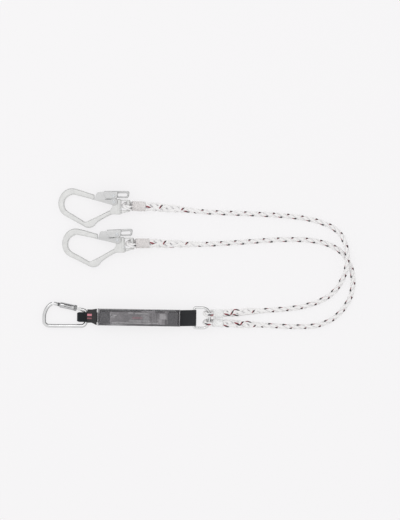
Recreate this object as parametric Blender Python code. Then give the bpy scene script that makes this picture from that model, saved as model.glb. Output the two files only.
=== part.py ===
# Twin shock-absorbing lanyard, laid flat: a folded webbing energy absorber with a twist-lock
# karabiner on one end and, on a D-ring at the other, two spliced rope legs with scaffold hooks.
# All sizes below are millimetres; objects are built in metres, +Z up. The origin is on the
# absorber's underside, at its centre, with +X along the absorber towards the D-ring.

import math

import bmesh
import bpy
from mathutils import Vector

MM = 0.001
GAP = 0.3                      # running clearance between touching pieces

# Absorber pack: folded tear webbing in a clear cover
PACK_LENGTH = 214.6
PACK_WIDTH = 44.6
PACK_HEIGHT = 30.0
COVER_WALL = 0.8
MOUTH_HEIGHT = 13.0            # height of the cover's pressed end mouths
END_TAPER = 12.0
WEB_THICKNESS = 2.6
WEB_FOLDS = 9
FOLD_GAP = 0.4
FOLD_MARGIN = 14.3             # from the last fold to the cover's mouth
FOLD_LENGTH = PACK_LENGTH - 2 * FOLD_MARGIN
LABEL_LENGTH = 150.0
LABEL_WIDTH = 36.0
LABEL_THICKNESS = 0.5

# Webbing loops on the two ends
RING_LOOP_WIDTH = 42.0
RING_LOOP_SKEW = 1.2           # the loop drawn to one side at the D-ring
KRAB_LOOP_WIDTH = 23.0
KRAB_LOOP_Y = -0.6
KRAB_LOOP_LENGTH = 53.2        # this and the next two are measured out from the cover's mouth
LABEL_SLEEVE_SPAN = (2.7, 26.7)
NECK_FLAT = 12.7
NECK_DROP = 0.6                # the most that the upper ply falls from the cover to the karabiner
LABEL_SLEEVE_WIDTH = 34.0
LABEL_SLEEVE_Y = 2.0
LABEL_SLEEVE_WALL = 0.8

# D-ring
RING_WIRE = 7.0
RING_BAR_X = PACK_LENGTH / 2 + 36.1
RING_BOW_X = RING_BAR_X + 40.8
RING_HALF_HEIGHT = 26.4        # to the wire's centre
RING_BOW_RADIUS = 17.8
RING_BAR_RADIUS = 4.9
RING_Y = 1.8
EYE_OFFSET = 12.0              # each rope eye's distance from the ring's middle

# Rope
ROPE_DIAMETER = 14.0
EYE_ROPE_RADIUS = 6.2          # the rope is squeezed where it turns through an eye
HOOK_SIDE_STEP = 5.2           # sideways step of the eye's two strands where they pass the bar
RING_SIDE_STEP = 4.4
STRAND_COVER = 0.5             # the splice's skin over the strands that enter it
THROAT_START = 14.0            # from the bar's centre to the throat's first section
HOOK_SPLICE = 165.0
RING_SPLICE = 125.0
RING_EYE_SLACK = 2.4           # the ring eye stands this far off the bow along the rope
SLEEVE_WALL = 1.2
HOOK_SLEEVE = (3.5, 28.0)
RING_SLEEVE = (3.5, 17.0)
CROSSING_RISE = 14.8           # one leg passes over the other
CROSSING_FLAT = 24.0
CROSSING_RAMP = 62.0

# Karabiner
KRAB_BAR = 10.0
KRAB_AXIS_X = -(PACK_LENGTH / 2 + 29.7)
GATE_HINGE = (KRAB_AXIS_X - 17.9, 20.4)
GATE_NOSE = (KRAB_AXIS_X - 85.7, 33.9)
GATE_RADIUS = 4.2
TWIST_OUTER = 7.5
KRAB_Z = max(TWIST_OUTER + 0.4, KRAB_BAR / 2 + GAP + WEB_THICKNESS)
TWIST_INNER = 4.6
TWIST_SPAN = (14.3, 50.0)
GRIP_SPAN = (6.8, 14.0)
GRIP_FLUTES = 18
FORK_RADIUS = 5.4
FORK_HALF_SLOT = 2.8
KRAB_PIN_RADIUS = 1.5

# Scaffold hooks, in the hook's own plane: u along it towards the rope eye, v across it
HOOK_EYE_A = (-31.2, 290.5)
HOOK_EYE_B = (-19.8, 192.6)
HOOK_YAW_A = 0.9
HOOK_YAW_B = 3.5
EYE_BAR_HALF = (4.7, 4.5)
EYE_BAR_ROUND = 3.0
EYE_ARM_HALF = 5.0
EYE_PLAY = 1.0                 # between the bar and the rope that turns round it
EYE_REACH = EYE_BAR_HALF[0] + EYE_PLAY + EYE_ROPE_RADIUS
EYE_HOLE_HALF = 12.0
NOSE_REST_U = -182.6
HUB_HALF = 7.0
NOSE_HALF = 7.5
GATE_PIVOT = (-37.7, 9.6)
GATE_REACH = 50.2
GATE_END_RADIUS = 8.8
GATE_OUTER_HALF = 9.4
GATE_PLATE = 2.0
LEVER_PIVOT = (-38.2, 25.7)
LEVER_OUTER_HALF = 11.8
LEVER_PLATE = 2.0
LEVER_WEB = 2.4
HANDLE_HALF = 6.0
RIVET_RADIUS = 2.5
PIN_PLAY = 0.25
RIVET_HEAD = 4.2
SPRING_RADIUS = 4.6
SPRING_WIRE = 0.8
SPRING_TURNS = 2.2
SPRING_PITCH = 1.1
RIVET_HEAD_HEIGHT = 1.3

# Rope routes in plan, from each hook's throat to the D-ring, read along the rope's middle
ROUTE_A = [
    (24.7, 288.5), (50.7, 287.1), (76.8, 284.9), (115.8, 282.3), (162.7, 278.0), (206.9, 276.0),
    (277.2, 274.5), (316.2, 273.4), (355.2, 271.9), (394.3, 269.1), (433.3, 264.0), (467.3, 255.9),
    (500.5, 242.0), (525.1, 219.5), (537.8, 187.0), (540.2, 153.1), (534.5, 123.0), (519.0, 91.0),
    (497.0, 66.5), (467.0, 48.8), (432.0, 36.8), (395.0, 29.9), (335.7, 24.0), (289.0, 20.4),
    (250.0, 16.9), (221.0, 14.9),
]
ROUTE_B = [
    (10.6, 193.4), (52.2, 193.2), (104.2, 192.9), (156.2, 193.0), (189.0, 194.2), (221.2, 196.7),
    (260.2, 199.8), (296.5, 203.1), (332.9, 206.2), (371.8, 208.6), (408.2, 209.3), (444.6, 207.6),
    (481.1, 200.6), (513.9, 186.0), (537.9, 161.5), (552.3, 129.9), (555.5, 92.2), (547.1, 57.0),
    (527.0, 25.4), (498.5, 0.9), (463.7, -12.9), (427.4, -16.9), (388.4, -17.2), (351.9, -15.8),
    (315.5, -14.6), (276.5, -13.6), (240.0, -12.4),
]

# Forged hook, in pairs across the bar: outer edge, inner edge, half thickness
HOOK_RIBS = [
    ((-88.9, 28.9), (-88.9, 14.6), 6.2),
    ((-105.3, 34.1), (-107.9, 20.3), 6.6),
    ((-126.1, 40.8), (-128.7, 25.5), 7.0),
    ((-146.9, 45.5), (-144.3, 28.9), 7.4),
    ((-163.8, 40.6), (-156.5, 23.7), 7.5),
    ((-176.4, 27.4), (-163.5, 16.5), 7.5),
    ((-182.6, 8.9), (-166.6, 6.4), 7.5),
    ((-179.4, -10.0), (-165.1, -4.8), 7.5),
    ((-168.6, -24.0), (-157.5, -14.6), 7.4),
    ((-146.9, -36.2), (-140.1, -25.2), 7.2),
    ((-124.5, -48.6), (-119.6, -38.0), 7.0),
    ((-107.0, -57.4), (-112.4, -41.8), 7.0),
    ((-91.6, -54.6), (-103.6, -38.8), 7.0),
    ((-81.0, -43.6), (-89.7, -32.6), 6.8),
    ((-63.7, -32.8), (-69.4, -22.4), 6.6),
    ((-48.1, -24.7), (-53.3, -14.3), 6.4),
    ((-38.5, -21.2), (-41.0, -9.4), 6.4),
]


def clear_scene():
    for obj in list(bpy.data.objects):
        bpy.data.objects.remove(obj, do_unlink=True)


def material(name, colour, roughness, metallic=0.0, alpha=1.0):
    mat = bpy.data.materials.new(name)
    mat.use_nodes = True
    shader = mat.node_tree.nodes["Principled BSDF"]
    shader.inputs["Base Color"].default_value = (*colour, 1.0)
    shader.inputs["Roughness"].default_value = roughness
    shader.inputs["Metallic"].default_value = metallic
    shader.inputs["Alpha"].default_value = alpha
    mat.diffuse_color = (*colour, alpha)
    return mat


def empty(name, location, rotation=(0.0, 0.0, 0.0), parent=None):
    obj = bpy.data.objects.new(name, None)
    obj.empty_display_size = 0.01
    obj.location = Vector(location) * MM
    obj.rotation_euler = rotation
    obj.parent = parent
    bpy.context.scene.collection.objects.link(obj)
    return obj


def add(name, bm, mat, parent=None, location=(0.0, 0.0, 0.0), rotation=(0.0, 0.0, 0.0), sharp=35.0):
    # The mesh is given about its own origin in metres; location is in millimetres.
    bmesh.ops.recalc_face_normals(bm, faces=bm.faces)
    mesh = bpy.data.meshes.new(name)
    bm.to_mesh(mesh)
    bm.free()
    mesh.shade_smooth()
    mesh.set_sharp_from_angle(angle=math.radians(sharp))
    mesh.materials.append(mat)
    obj = bpy.data.objects.new(name, mesh)
    obj.location = Vector(location) * MM
    obj.rotation_euler = rotation
    obj.parent = parent
    bpy.context.scene.collection.objects.link(obj)
    return obj


def loft(rings, closed=False):
    # Skin through rings of equal point count; closed joins the last ring to the first.
    bm = bmesh.new()
    rows = [[bm.verts.new(Vector(point) * MM) for point in ring] for ring in rings]
    pairs = list(zip(rows, rows[1:]))
    if closed:
        pairs.append((rows[-1], rows[0]))
    for near, far in pairs:
        for i in range(len(near)):
            j = (i + 1) % len(near)
            bm.faces.new((near[i], near[j], far[j], far[i]))
    if not closed:
        bm.faces.new(rows[0][::-1])
        bm.faces.new(rows[-1])
    bmesh.ops.recalc_face_normals(bm, faces=bm.faces)
    return bm


def prism(outline, low, high):
    return loft([[(u, v, low) for u, v in outline], [(u, v, high) for u, v in outline]])


def arc(centre, radius, start, stop, steps):
    points = []
    for i in range(steps + 1):
        angle = math.radians(start + (stop - start) * i / steps)
        points.append((centre[0] + radius * math.cos(angle), centre[1] + radius * math.sin(angle)))
    return points


def disc(centre, radius, sides):
    return arc(centre, radius, 0.0, 360.0, sides)[:-1]


def rounded_box(half_u, half_v, radius, steps=3, centre=(0.0, 0.0)):
    points = []
    for sign_u, sign_v, start in ((1, 1, 0), (-1, 1, 90), (-1, -1, 180), (1, -1, 270)):
        corner = (centre[0] + sign_u * (half_u - radius), centre[1] + sign_v * (half_v - radius))
        points += arc(corner, radius, start, start + 90, steps)
    return points


def turned(profile, sides):
    # A solid turned about X: profile is (x, radius) pairs.
    rings = []
    for x, radius in profile:
        rings.append([(x, y, z) for y, z in disc((0.0, 0.0), radius, sides)])
    return rings


def combine(first, second, operation):
    # Boolean of two closed meshes.
    holders = []
    for bm in (first, second):
        mesh = bpy.data.meshes.new("operand")
        bm.to_mesh(mesh)
        bm.free()
        obj = bpy.data.objects.new("operand", mesh)
        bpy.context.scene.collection.objects.link(obj)
        holders.append(obj)
    target, tool = holders
    modifier = target.modifiers.new("combine", "BOOLEAN")
    modifier.operation = operation
    modifier.solver = "EXACT"
    modifier.object = tool
    bpy.context.view_layer.update()
    result = bmesh.new()
    result.from_object(target, bpy.context.evaluated_depsgraph_get())
    for obj in holders:
        bpy.data.objects.remove(obj, do_unlink=True)
    bmesh.ops.remove_doubles(result, verts=result.verts, dist=0.00001)
    return result


def softened(bm, width, segments=2, angle=40.0):
    # Rounds every edge sharper than the angle.
    edges = [e for e in bm.edges if len(e.link_faces) == 2 and e.calc_face_angle() > math.radians(angle)]
    bmesh.ops.bevel(bm, geom=edges, offset=width * MM, offset_type="OFFSET", segments=segments,
                    profile=0.5, affect="EDGES", clamp_overlap=True, material=-1)
    return bm


def smooth_line(points, step):
    # A smooth curve through the points, read off at even steps.
    ends = [2 * points[0] - points[1]] + points + [2 * points[-1] - points[-2]]
    dense = []
    for i in range(1, len(ends) - 2):
        p0, p1, p2, p3 = ends[i - 1:i + 3]
        for k in range(24):
            t = k / 24
            dense.append(0.5 * (2 * p1 + (p2 - p0) * t + (2 * p0 - 5 * p1 + 4 * p2 - p3) * t * t
                                + (3 * p1 - p0 - 3 * p2 + p3) * t ** 3))
    dense.append(points[-1])
    lengths = [0.0]
    for a, b in zip(dense, dense[1:]):
        lengths.append(lengths[-1] + (b - a).length)
    count = max(2, round(lengths[-1] / step))
    line = []
    k = 0
    for i in range(count + 1):
        target = lengths[-1] * i / count
        while k < len(dense) - 2 and lengths[k + 1] < target:
            k += 1
        span = max(lengths[k + 1] - lengths[k], 1e-9)
        line.append(dense[k].lerp(dense[k + 1], min(1.0, max(0.0, (target - lengths[k]) / span))))
    return line


def direction(line, i):
    return (line[min(i + 1, len(line) - 1)] - line[max(i - 1, 0)]).normalized()


def tube(line, radii, sides):
    # Round tube along a line, its sections carried along without twisting.
    normal = direction(line, 0).orthogonal().normalized()
    rings = []
    for i, point in enumerate(line):
        along = direction(line, i)
        normal = (normal - along * normal.dot(along)).normalized()
        other = along.cross(normal)
        rings.append([point + (normal * math.cos(2 * math.pi * k / sides)
                               + other * math.sin(2 * math.pi * k / sides)) * radii[i]
                      for k in range(sides)])
    return rings


def band(line, width, thickness, skew=None, closed=False):
    # Flat webbing along a line of (x, z) points, its width along Y; skew gives its middle's Y at an X.
    rings = []
    last = len(line) - 1
    for i, (x, z) in enumerate(line):
        before = line[i - 1] if i or closed else line[0]
        after = line[(i + 1) % len(line)] if i < last or closed else line[last]
        run = Vector((after[0] - before[0], after[1] - before[1])).normalized()
        off = Vector((-run.y, run.x)) * thickness / 2
        middle = skew(x) if skew else 0.0
        low = middle - width / 2
        high = middle + width / 2
        rings.append([(x - off.x, low, z - off.y), (x + off.x, low, z + off.y),
                      (x + off.x, high, z + off.y), (x - off.x, high, z - off.y)])
    return loft(rings, closed)


# Absorber

def tear_webbing(mat):
    # One strap folded to and fro, each fold lying on the one below.
    pitch = WEB_THICKNESS + FOLD_GAP
    stack = pitch * (WEB_FOLDS - 1)
    first = COVER_WALL + GAP + WEB_THICKNESS / 2
    reach = FOLD_LENGTH / 2 - pitch
    line = []
    for fold in range(WEB_FOLDS):
        z = first + fold * pitch
        side = 1 if fold % 2 == 0 else -1
        line.append((-side * reach, z))
        line.append((side * reach, z))
        if fold < WEB_FOLDS - 1:
            for angle in (-50, 0, 50):
                turn = math.radians(angle)
                line.append((side * (reach + math.cos(turn) * pitch / 2), z + pitch / 2 * (1 + math.sin(turn))))
    add("tear_webbing", band(line, PACK_WIDTH - 2 * COVER_WALL - 4 * GAP, WEB_THICKNESS), mat)
    return first + stack + WEB_THICKNESS / 2


def cover_section(x, half_width, low, high, radius):
    middle = (low + high) / 2
    outline = rounded_box(half_width, (high - low) / 2, radius, 3)
    return [(x, y, middle + z) for y, z in outline]


def clear_cover(mat):
    # A shrunk clear sleeve: flat below, its open ends pressed down to the webbing.
    half = PACK_LENGTH / 2
    middle = PACK_HEIGHT / 2
    stations = []
    for x, height in ((-half, MOUTH_HEIGHT), (-half + END_TAPER * 0.45, MOUTH_HEIGHT + 8.0),
                      (-half + END_TAPER, PACK_HEIGHT)):
        stations.append((x, height))
    stations += [(-x, height) for x, height in reversed(stations)]
    outer = []
    inner = []
    for x, height in stations:
        low = middle - height / 2
        high = middle + height / 2
        outer.append(cover_section(x, PACK_WIDTH / 2, low, high, COVER_WALL + 1.0))
        inner.append(cover_section(x, PACK_WIDTH / 2 - COVER_WALL, low + COVER_WALL, high - COVER_WALL, 1.0))
    add("clear_cover", loft(outer + inner[::-1], closed=True), mat)


def label_insert(mat, top_of_webbing):
    low = top_of_webbing + GAP
    outline = rounded_box(LABEL_LENGTH / 2, LABEL_WIDTH / 2, 4.0)
    add("label_insert", prism(outline, low, low + LABEL_THICKNESS), mat)


def ply_heights():
    pitch = WEB_THICKNESS + FOLD_GAP
    return PACK_HEIGHT / 2 + pitch / 2, PACK_HEIGHT / 2 - pitch / 2


def ring_loop(mat, ring_z):
    # The strap's end goes round the D-ring's bar and back into the pack.
    upper, lower = ply_heights()
    inside = FOLD_LENGTH / 2 + GAP
    radius = RING_WIRE / 2 + GAP + WEB_THICKNESS / 2
    line = [(inside, upper), (PACK_LENGTH / 2 + 2.0, upper), (RING_BAR_X - 14.0, ring_z + radius * 0.75)]
    line += arc((RING_BAR_X, ring_z), radius, 100, -100, 10)
    line += [(RING_BAR_X - 14.0, ring_z - radius * 0.75), (PACK_LENGTH / 2 + 2.0, lower), (inside, lower)]
    mouth = PACK_LENGTH / 2
    add("ring_loop", band(line, RING_LOOP_WIDTH, WEB_THICKNESS,
                          lambda x: RING_LOOP_SKEW * max(0.0, x - mouth) / (RING_BAR_X - mouth)), mat)


def krab_loop(mat):
    # Narrow loop round the karabiner's end bar: its lower ply lies flat, its upper ply passes over.
    upper, lower = ply_heights()
    inside = -(FOLD_LENGTH / 2 + GAP)
    flat = KRAB_Z - KRAB_BAR / 2 - GAP - WEB_THICKNESS / 2
    over_bar = KRAB_Z + KRAB_BAR / 2 + 3 * GAP + LABEL_SLEEVE_WALL + WEB_THICKNESS / 2
    over = max(over_bar, upper - NECK_DROP)
    radius = (over - flat) / 2
    end = -PACK_LENGTH / 2
    turn = (end - KRAB_LOOP_LENGTH + radius + WEB_THICKNESS / 2, flat + radius)
    line = [(inside, lower), (end - 1.0, lower), (end - 9.7, (lower + flat) / 2 + 0.6)]
    line += [(end - 19.7, flat + 1.2), (end - 25.2, flat)]
    line += arc(turn, radius, 270, 90, 10)
    line += [(end - 23.7, over), (end - NECK_FLAT, over), (end - 1.0, upper), (inside, upper)]
    add("karabiner_loop", band(line, KRAB_LOOP_WIDTH, WEB_THICKNESS, lambda x: KRAB_LOOP_Y), mat)
    return over


def label_sleeve(mat, height):
    # A woven sleeve slipped over the loop's upper ply.
    half_hole = WEB_THICKNESS / 2 + GAP
    inner = rounded_box(KRAB_LOOP_WIDTH / 2 + GAP, half_hole, 0.1, 1, (KRAB_LOOP_Y, 0.0))
    outer = rounded_box(LABEL_SLEEVE_WIDTH / 2, half_hole + LABEL_SLEEVE_WALL, 1.6, 1, (LABEL_SLEEVE_Y, 0.0))
    end = -PACK_LENGTH / 2
    rise = (ply_heights()[0] - height) / (NECK_FLAT - 1.0)
    rings = []
    for outline, order in ((outer, 1), (inner, -1)):
        row = []
        for out in (LABEL_SLEEVE_SPAN[1], NECK_FLAT, LABEL_SLEEVE_SPAN[0]):
            middle = height + rise * max(0.0, NECK_FLAT - out)
            row.append([(end - out, y, middle + z) for y, z in outline])
        rings += row[::order]
    add("label_sleeve", loft(rings, closed=True), mat)


# D-ring

def d_ring(mat, ring_z):
    line = []
    bow = RING_BOW_RADIUS
    bar = RING_BAR_RADIUS
    half = RING_HALF_HEIGHT
    for centre, radius, start, steps in (
            ((RING_BOW_X - bow, half - bow), bow, 90, 6), ((RING_BOW_X - bow, bow - half), bow, 0, 6),
            ((RING_BAR_X + bar, bar - half), bar, -90, 4), ((RING_BAR_X + bar, half - bar), bar, 180, 4)):
        line += arc(centre, radius, start, start - 90, steps)
    rings = []
    count = len(line)
    for i in range(count):
        run = Vector(line[(i + 1) % count]) - Vector(line[i - 1])
        side = Vector((-run.y, run.x)).normalized()
        rings.append([(line[i][0] + side.x * a, line[i][1] + side.y * a, b)
                      for a, b in disc((0.0, 0.0), RING_WIRE / 2, 10)])
    add("d_ring", loft(rings, closed=True), mat, location=(0.0, RING_Y, ring_z))


# Rope legs

# Distance from the throat, half width, half height and squareness of the spliced rope
HOOK_SPLICE_SHAPE = [
    (0.0, 12.1, 13.2, 3.4), (12.0, 12.1, 11.8, 2.9), (28.0, 11.8, 9.8, 2.4), (58.0, 11.3, 8.9, 2.0),
    (100.0, 9.8, 8.2, 2.0), (140.0, 7.9, 7.3, 2.0), (HOOK_SPLICE, 7.0, 7.0, 2.0),
]
RING_SPLICE_SHAPE = [
    (0.0, 10.0, 12.2, 3.4), (10.0, 9.9, 11.6, 3.0), (22.0, 9.9, 10.2, 2.5), (45.0, 10.4, 8.9, 2.1),
    (80.0, 9.8, 8.4, 2.0), (105.0, 8.2, 7.5, 2.0), (RING_SPLICE, 7.0, 7.0, 2.0),
]


def splice_section(distance, shape):
    for near, far in zip(shape, shape[1:]):
        if distance <= far[0]:
            t = (distance - near[0]) / (far[0] - near[0])
            t = max(0.0, min(1.0, t))
            t = t * t * (3 - 2 * t)
            return tuple(near[k] + (far[k] - near[k]) * t for k in (1, 2, 3))
    return shape[-1][1:]


def sleeve_lift(distance, sleeve):
    # The sleeve's wall lifts the throat off the surface that the rope lies on.
    wall = SLEEVE_WALL + GAP
    if distance <= sleeve[1] + 2.0:
        return wall
    return max(0.0, wall * (1.0 - (distance - sleeve[1] - 2.0) / 40.0))


def leg_line(throat_hook, route, throat_ring):
    points = [Vector((x, y, 0.0)) for x, y in [throat_hook] + route + [throat_ring]]
    return smooth_line(points, 2.0)


def line_lengths(line):
    lengths = [0.0]
    for a, b in zip(line, line[1:]):
        lengths.append(lengths[-1] + (b - a).length)
    return lengths


def crossing(line_a, line_b):
    # Where the two routes cross in plan: the nearest pair well away from both ends.
    best = None
    for i in range(0, len(line_a), 2):
        for j in range(0, len(line_b), 2):
            apart = (line_a[i] - line_b[j]).length
            if best is None or apart < best[0]:
                best = (apart, i, j)
    return best[1], best[2]


def lift_line(line, over_at=None):
    # Height of the rope's middle: its own radius, more at the splices and where it passes over.
    lengths = line_lengths(line)
    total = lengths[-1]
    for i, point in enumerate(line):
        from_hook = lengths[i]
        from_ring = total - lengths[i]
        height = ROPE_DIAMETER / 2
        if from_hook < HOOK_SPLICE:
            height = splice_section(from_hook, HOOK_SPLICE_SHAPE)[1] + sleeve_lift(from_hook, HOOK_SLEEVE)
        if from_ring < RING_SPLICE:
            height = splice_section(from_ring, RING_SPLICE_SHAPE)[1] + sleeve_lift(from_ring, RING_SLEEVE)
        if over_at is not None:
            away = abs(lengths[i] - lengths[over_at])
            t = 1.0 - max(0.0, min(1.0, (away - CROSSING_FLAT) / CROSSING_RAMP))
            height += CROSSING_RISE * t * t * (3 - 2 * t)
        point.z = height
    return lengths


def oval(point, along, half_width, half_height, power, count=14):
    # A section across the rope: level side to side, between an oval and a rounded box.
    side = Vector((-along.y, along.x, 0.0)).normalized()
    ring = []
    for k in range(count):
        angle = 2 * math.pi * k / count
        c = math.cos(angle)
        s = math.sin(angle)
        a = half_width * math.copysign(abs(c) ** (2 / power), c)
        b = half_height * math.copysign(abs(s) ** (2 / power), s)
        ring.append(point + side * a + Vector((0.0, 0.0, b)))
    return ring


def point_at(line, lengths, distance):
    for i in range(len(lengths) - 1):
        if lengths[i + 1] >= distance:
            t = (distance - lengths[i]) / (lengths[i + 1] - lengths[i])
            return line[i].lerp(line[i + 1], max(0.0, t)), (line[i + 1] - line[i]).normalized()
    return line[-1], (line[-1] - line[-2]).normalized()


def sleeve_stations(sleeve):
    return [sleeve[0] + (sleeve[1] - sleeve[0]) * k / 4 for k in range(5)]


def splice_stations(shape, sleeve):
    plain = shape[-1][0] - GAP - sleeve[1]
    return [0.0] + sleeve_stations(sleeve) + [sleeve[1] + plain * (k / 8) ** 1.15 for k in range(1, 9)]


def rope_eye(name, mat, bar, bar_z, line, shape, sleeve, side_step, reach_x, reach_z):
    # An eye round a bar, closed by a splice that thins down to the plain rope.
    lengths = line_lengths(line)
    sections = []
    for distance in splice_stations(shape, sleeve):
        point, along = point_at(line, lengths, distance)
        sections.append(oval(point, along, *splice_section(distance, shape)))
    outward = Vector((line[6].x - line[0].x, line[6].y - line[0].y, 0.0)).normalized()
    lateral = Vector((-outward.y, outward.x, 0.0))
    centre = Vector((bar[0], bar[1], bar_z))
    throat = line[0].z - bar_z
    room_y = shape[0][1] - EYE_ROPE_RADIUS - STRAND_COVER
    room_z = shape[0][2] - EYE_ROPE_RADIUS - STRAND_COVER
    inside = THROAT_START + 9.0
    loop = [(inside, -room_y, throat + room_z - 1.6), (THROAT_START, -room_y, throat + room_z)]
    loop.append((reach_x * 0.46, -side_step, reach_z * 0.95))
    for angle in (90, 115, 140, 160, 180, 200, 220, 245, 270):
        turn = math.radians(angle)
        side = side_step * max(-1.0, min(1.0, (180 - angle) / 72))
        loop.append((reach_x * math.cos(turn), -side, reach_z * math.sin(turn)))
    loop += [(THROAT_START, room_y, throat - room_z), (inside, room_y, throat - room_z + 1.6)]
    points = [centre + outward * x + lateral * y + Vector((0.0, 0.0, z)) for x, y, z in loop]
    strand = smooth_line(points, 4.0)
    last = len(strand) - 1
    radii = [EYE_ROPE_RADIUS * min(1.0, 0.55 + 0.18 * min(i, last - i)) for i in range(last + 1)]
    whole = combine(loft(sections), loft(tube(strand, radii, 10)), "UNION")
    return add(name, whole, mat, sharp=50.0)


def eye_sleeve(name, mat, line, shape, sleeve):
    # A clear sleeve shrunk over the throat of the eye.
    lengths = line_lengths(line)
    rings = []
    for extra, order in ((SLEEVE_WALL + GAP, 1), (GAP, -1)):
        shell = []
        for distance in sleeve_stations(sleeve):
            point, along = point_at(line, lengths, distance)
            width, height, power = splice_section(distance, shape)
            shell.append(oval(point, along, width + extra, height + extra, power))
        rings += shell[::order]
    return add(name, loft(rings, closed=True), mat, sharp=50.0)


def free_rope(name, mat, line, lengths):
    # The plain rope between the two splices.
    start = HOOK_SPLICE + GAP
    stop = lengths[-1] - RING_SPLICE - GAP
    count = round((stop - start) / (2 * ROPE_DIAMETER))
    curve = bpy.data.curves.new(name, "CURVE")
    curve.dimensions = "3D"
    curve.bevel_depth = ROPE_DIAMETER / 2 * MM
    curve.bevel_resolution = 3
    curve.use_fill_caps = True
    spline = curve.splines.new("POLY")
    spline.points.add(count)
    for i in range(count + 1):
        point, _ = point_at(line, lengths, start + (stop - start) * i / count)
        spline.points[i].co = (*(point * MM), 1.0)
    curve.materials.append(mat)
    obj = bpy.data.objects.new(name, curve)
    bpy.context.scene.collection.objects.link(obj)
    print(name, "free length", round(stop - start), "mm, points", count + 1)
    return obj


def rope_leg(letter, mats, bar, bar_z, ring_point, ring_z, line, lengths):
    backward = [p.copy() for p in reversed(line)]
    ring_reach = RING_WIRE / 2 + EYE_ROPE_RADIUS
    rope_eye("hook_eye_splice_" + letter, mats["rope"], bar, bar_z, line, HOOK_SPLICE_SHAPE,
             HOOK_SLEEVE, HOOK_SIDE_STEP, EYE_REACH, EYE_REACH)
    eye_sleeve("hook_eye_sleeve_" + letter, mats["clear"], line, HOOK_SPLICE_SHAPE, HOOK_SLEEVE)
    rope_eye("ring_eye_splice_" + letter, mats["rope"], ring_point, ring_z, backward, RING_SPLICE_SHAPE,
             RING_SLEEVE, RING_SIDE_STEP, ring_reach + RING_EYE_SLACK, ring_reach + 2 * GAP)
    eye_sleeve("ring_eye_sleeve_" + letter, mats["clear"], backward, RING_SPLICE_SHAPE, RING_SLEEVE)
    free_rope("rope_leg_" + letter, mats["rope"], line, lengths)
    print("leg", letter, "bar to bar", round(lengths[-1] + 2 * THROAT_START), "mm")


# Karabiner

def krab_line():
    # Middle line of the bent bar, from the gate's hinge round the back to the nose.
    axis = KRAB_AXIS_X
    line = [Vector((GATE_HINGE[0] + 2.0, GATE_HINGE[1] - 0.6, 0.0))]
    line += [Vector((x, y, 0.0)) for x, y in arc((axis - 7.5, 10.0), 7.5, 90, 0, 4)]
    line += [Vector((x, y, 0.0)) for x, y in arc((axis - 12.0, -12.3), 12.0, 0, -90, 5)]
    line += [Vector((axis - 38.0, -24.5, 0.0)), Vector((axis - 68.0, -24.7, 0.0))]
    line += [Vector((x, y, 0.0)) for x, y in arc((axis - 95.6, -11.2), 13.4, -90, -160, 4)]
    nose = [(108.8, -1.8), (107.2, 8.6), (103.4, 18.6), (98.2, 26.0), (92.4, 31.0), (88.2, 32.9)]
    return line + [Vector((axis - back, y, 0.0)) for back, y in nose]


def flat_rings(line, radius, sides, origin):
    # Sections of a bent round bar that lies in a level plane.
    rings = []
    for i, point in enumerate(line):
        along = direction(line, i)
        side = Vector((-along.y, along.x, 0.0))
        rings.append([point - origin + side * a + Vector((0.0, 0.0, b))
                      for a, b in disc((0.0, 0.0), radius, sides)])
    return rings


def karabiner_frame(mat, pivot):
    hinge = (GATE_HINGE[0] - pivot.location.x / MM, GATE_HINGE[1])
    origin = Vector((KRAB_AXIS_X, 0.0, 0.0))
    body = loft(flat_rings(krab_line(), KRAB_BAR / 2, 12, origin))
    body = combine(body, prism(disc(hinge, FORK_RADIUS, 16), -KRAB_BAR / 2 + 0.1, KRAB_BAR / 2 - 0.1), "UNION")
    slot = [(hinge[0] - 9.0, hinge[1] - 9.0), (hinge[0] + 5.8, hinge[1] - 9.0),
            (hinge[0] + 5.8, hinge[1] + 9.0), (hinge[0] - 9.0, hinge[1] + 9.0)]
    body = combine(body, prism(slot, -FORK_HALF_SLOT, FORK_HALF_SLOT), "DIFFERENCE")
    body = combine(body, prism(disc(hinge, KRAB_PIN_RADIUS + PIN_PLAY, 12), -9.0, 9.0), "DIFFERENCE")
    add("karabiner_frame", body, mat, parent=pivot)
    pin = prism(disc((0.0, 0.0), KRAB_PIN_RADIUS, 12), -KRAB_BAR / 2, KRAB_BAR / 2)
    add("karabiner_gate_pin", pin, mat, parent=pivot, location=(hinge[0], hinge[1], 0.0))
    return hinge


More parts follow.
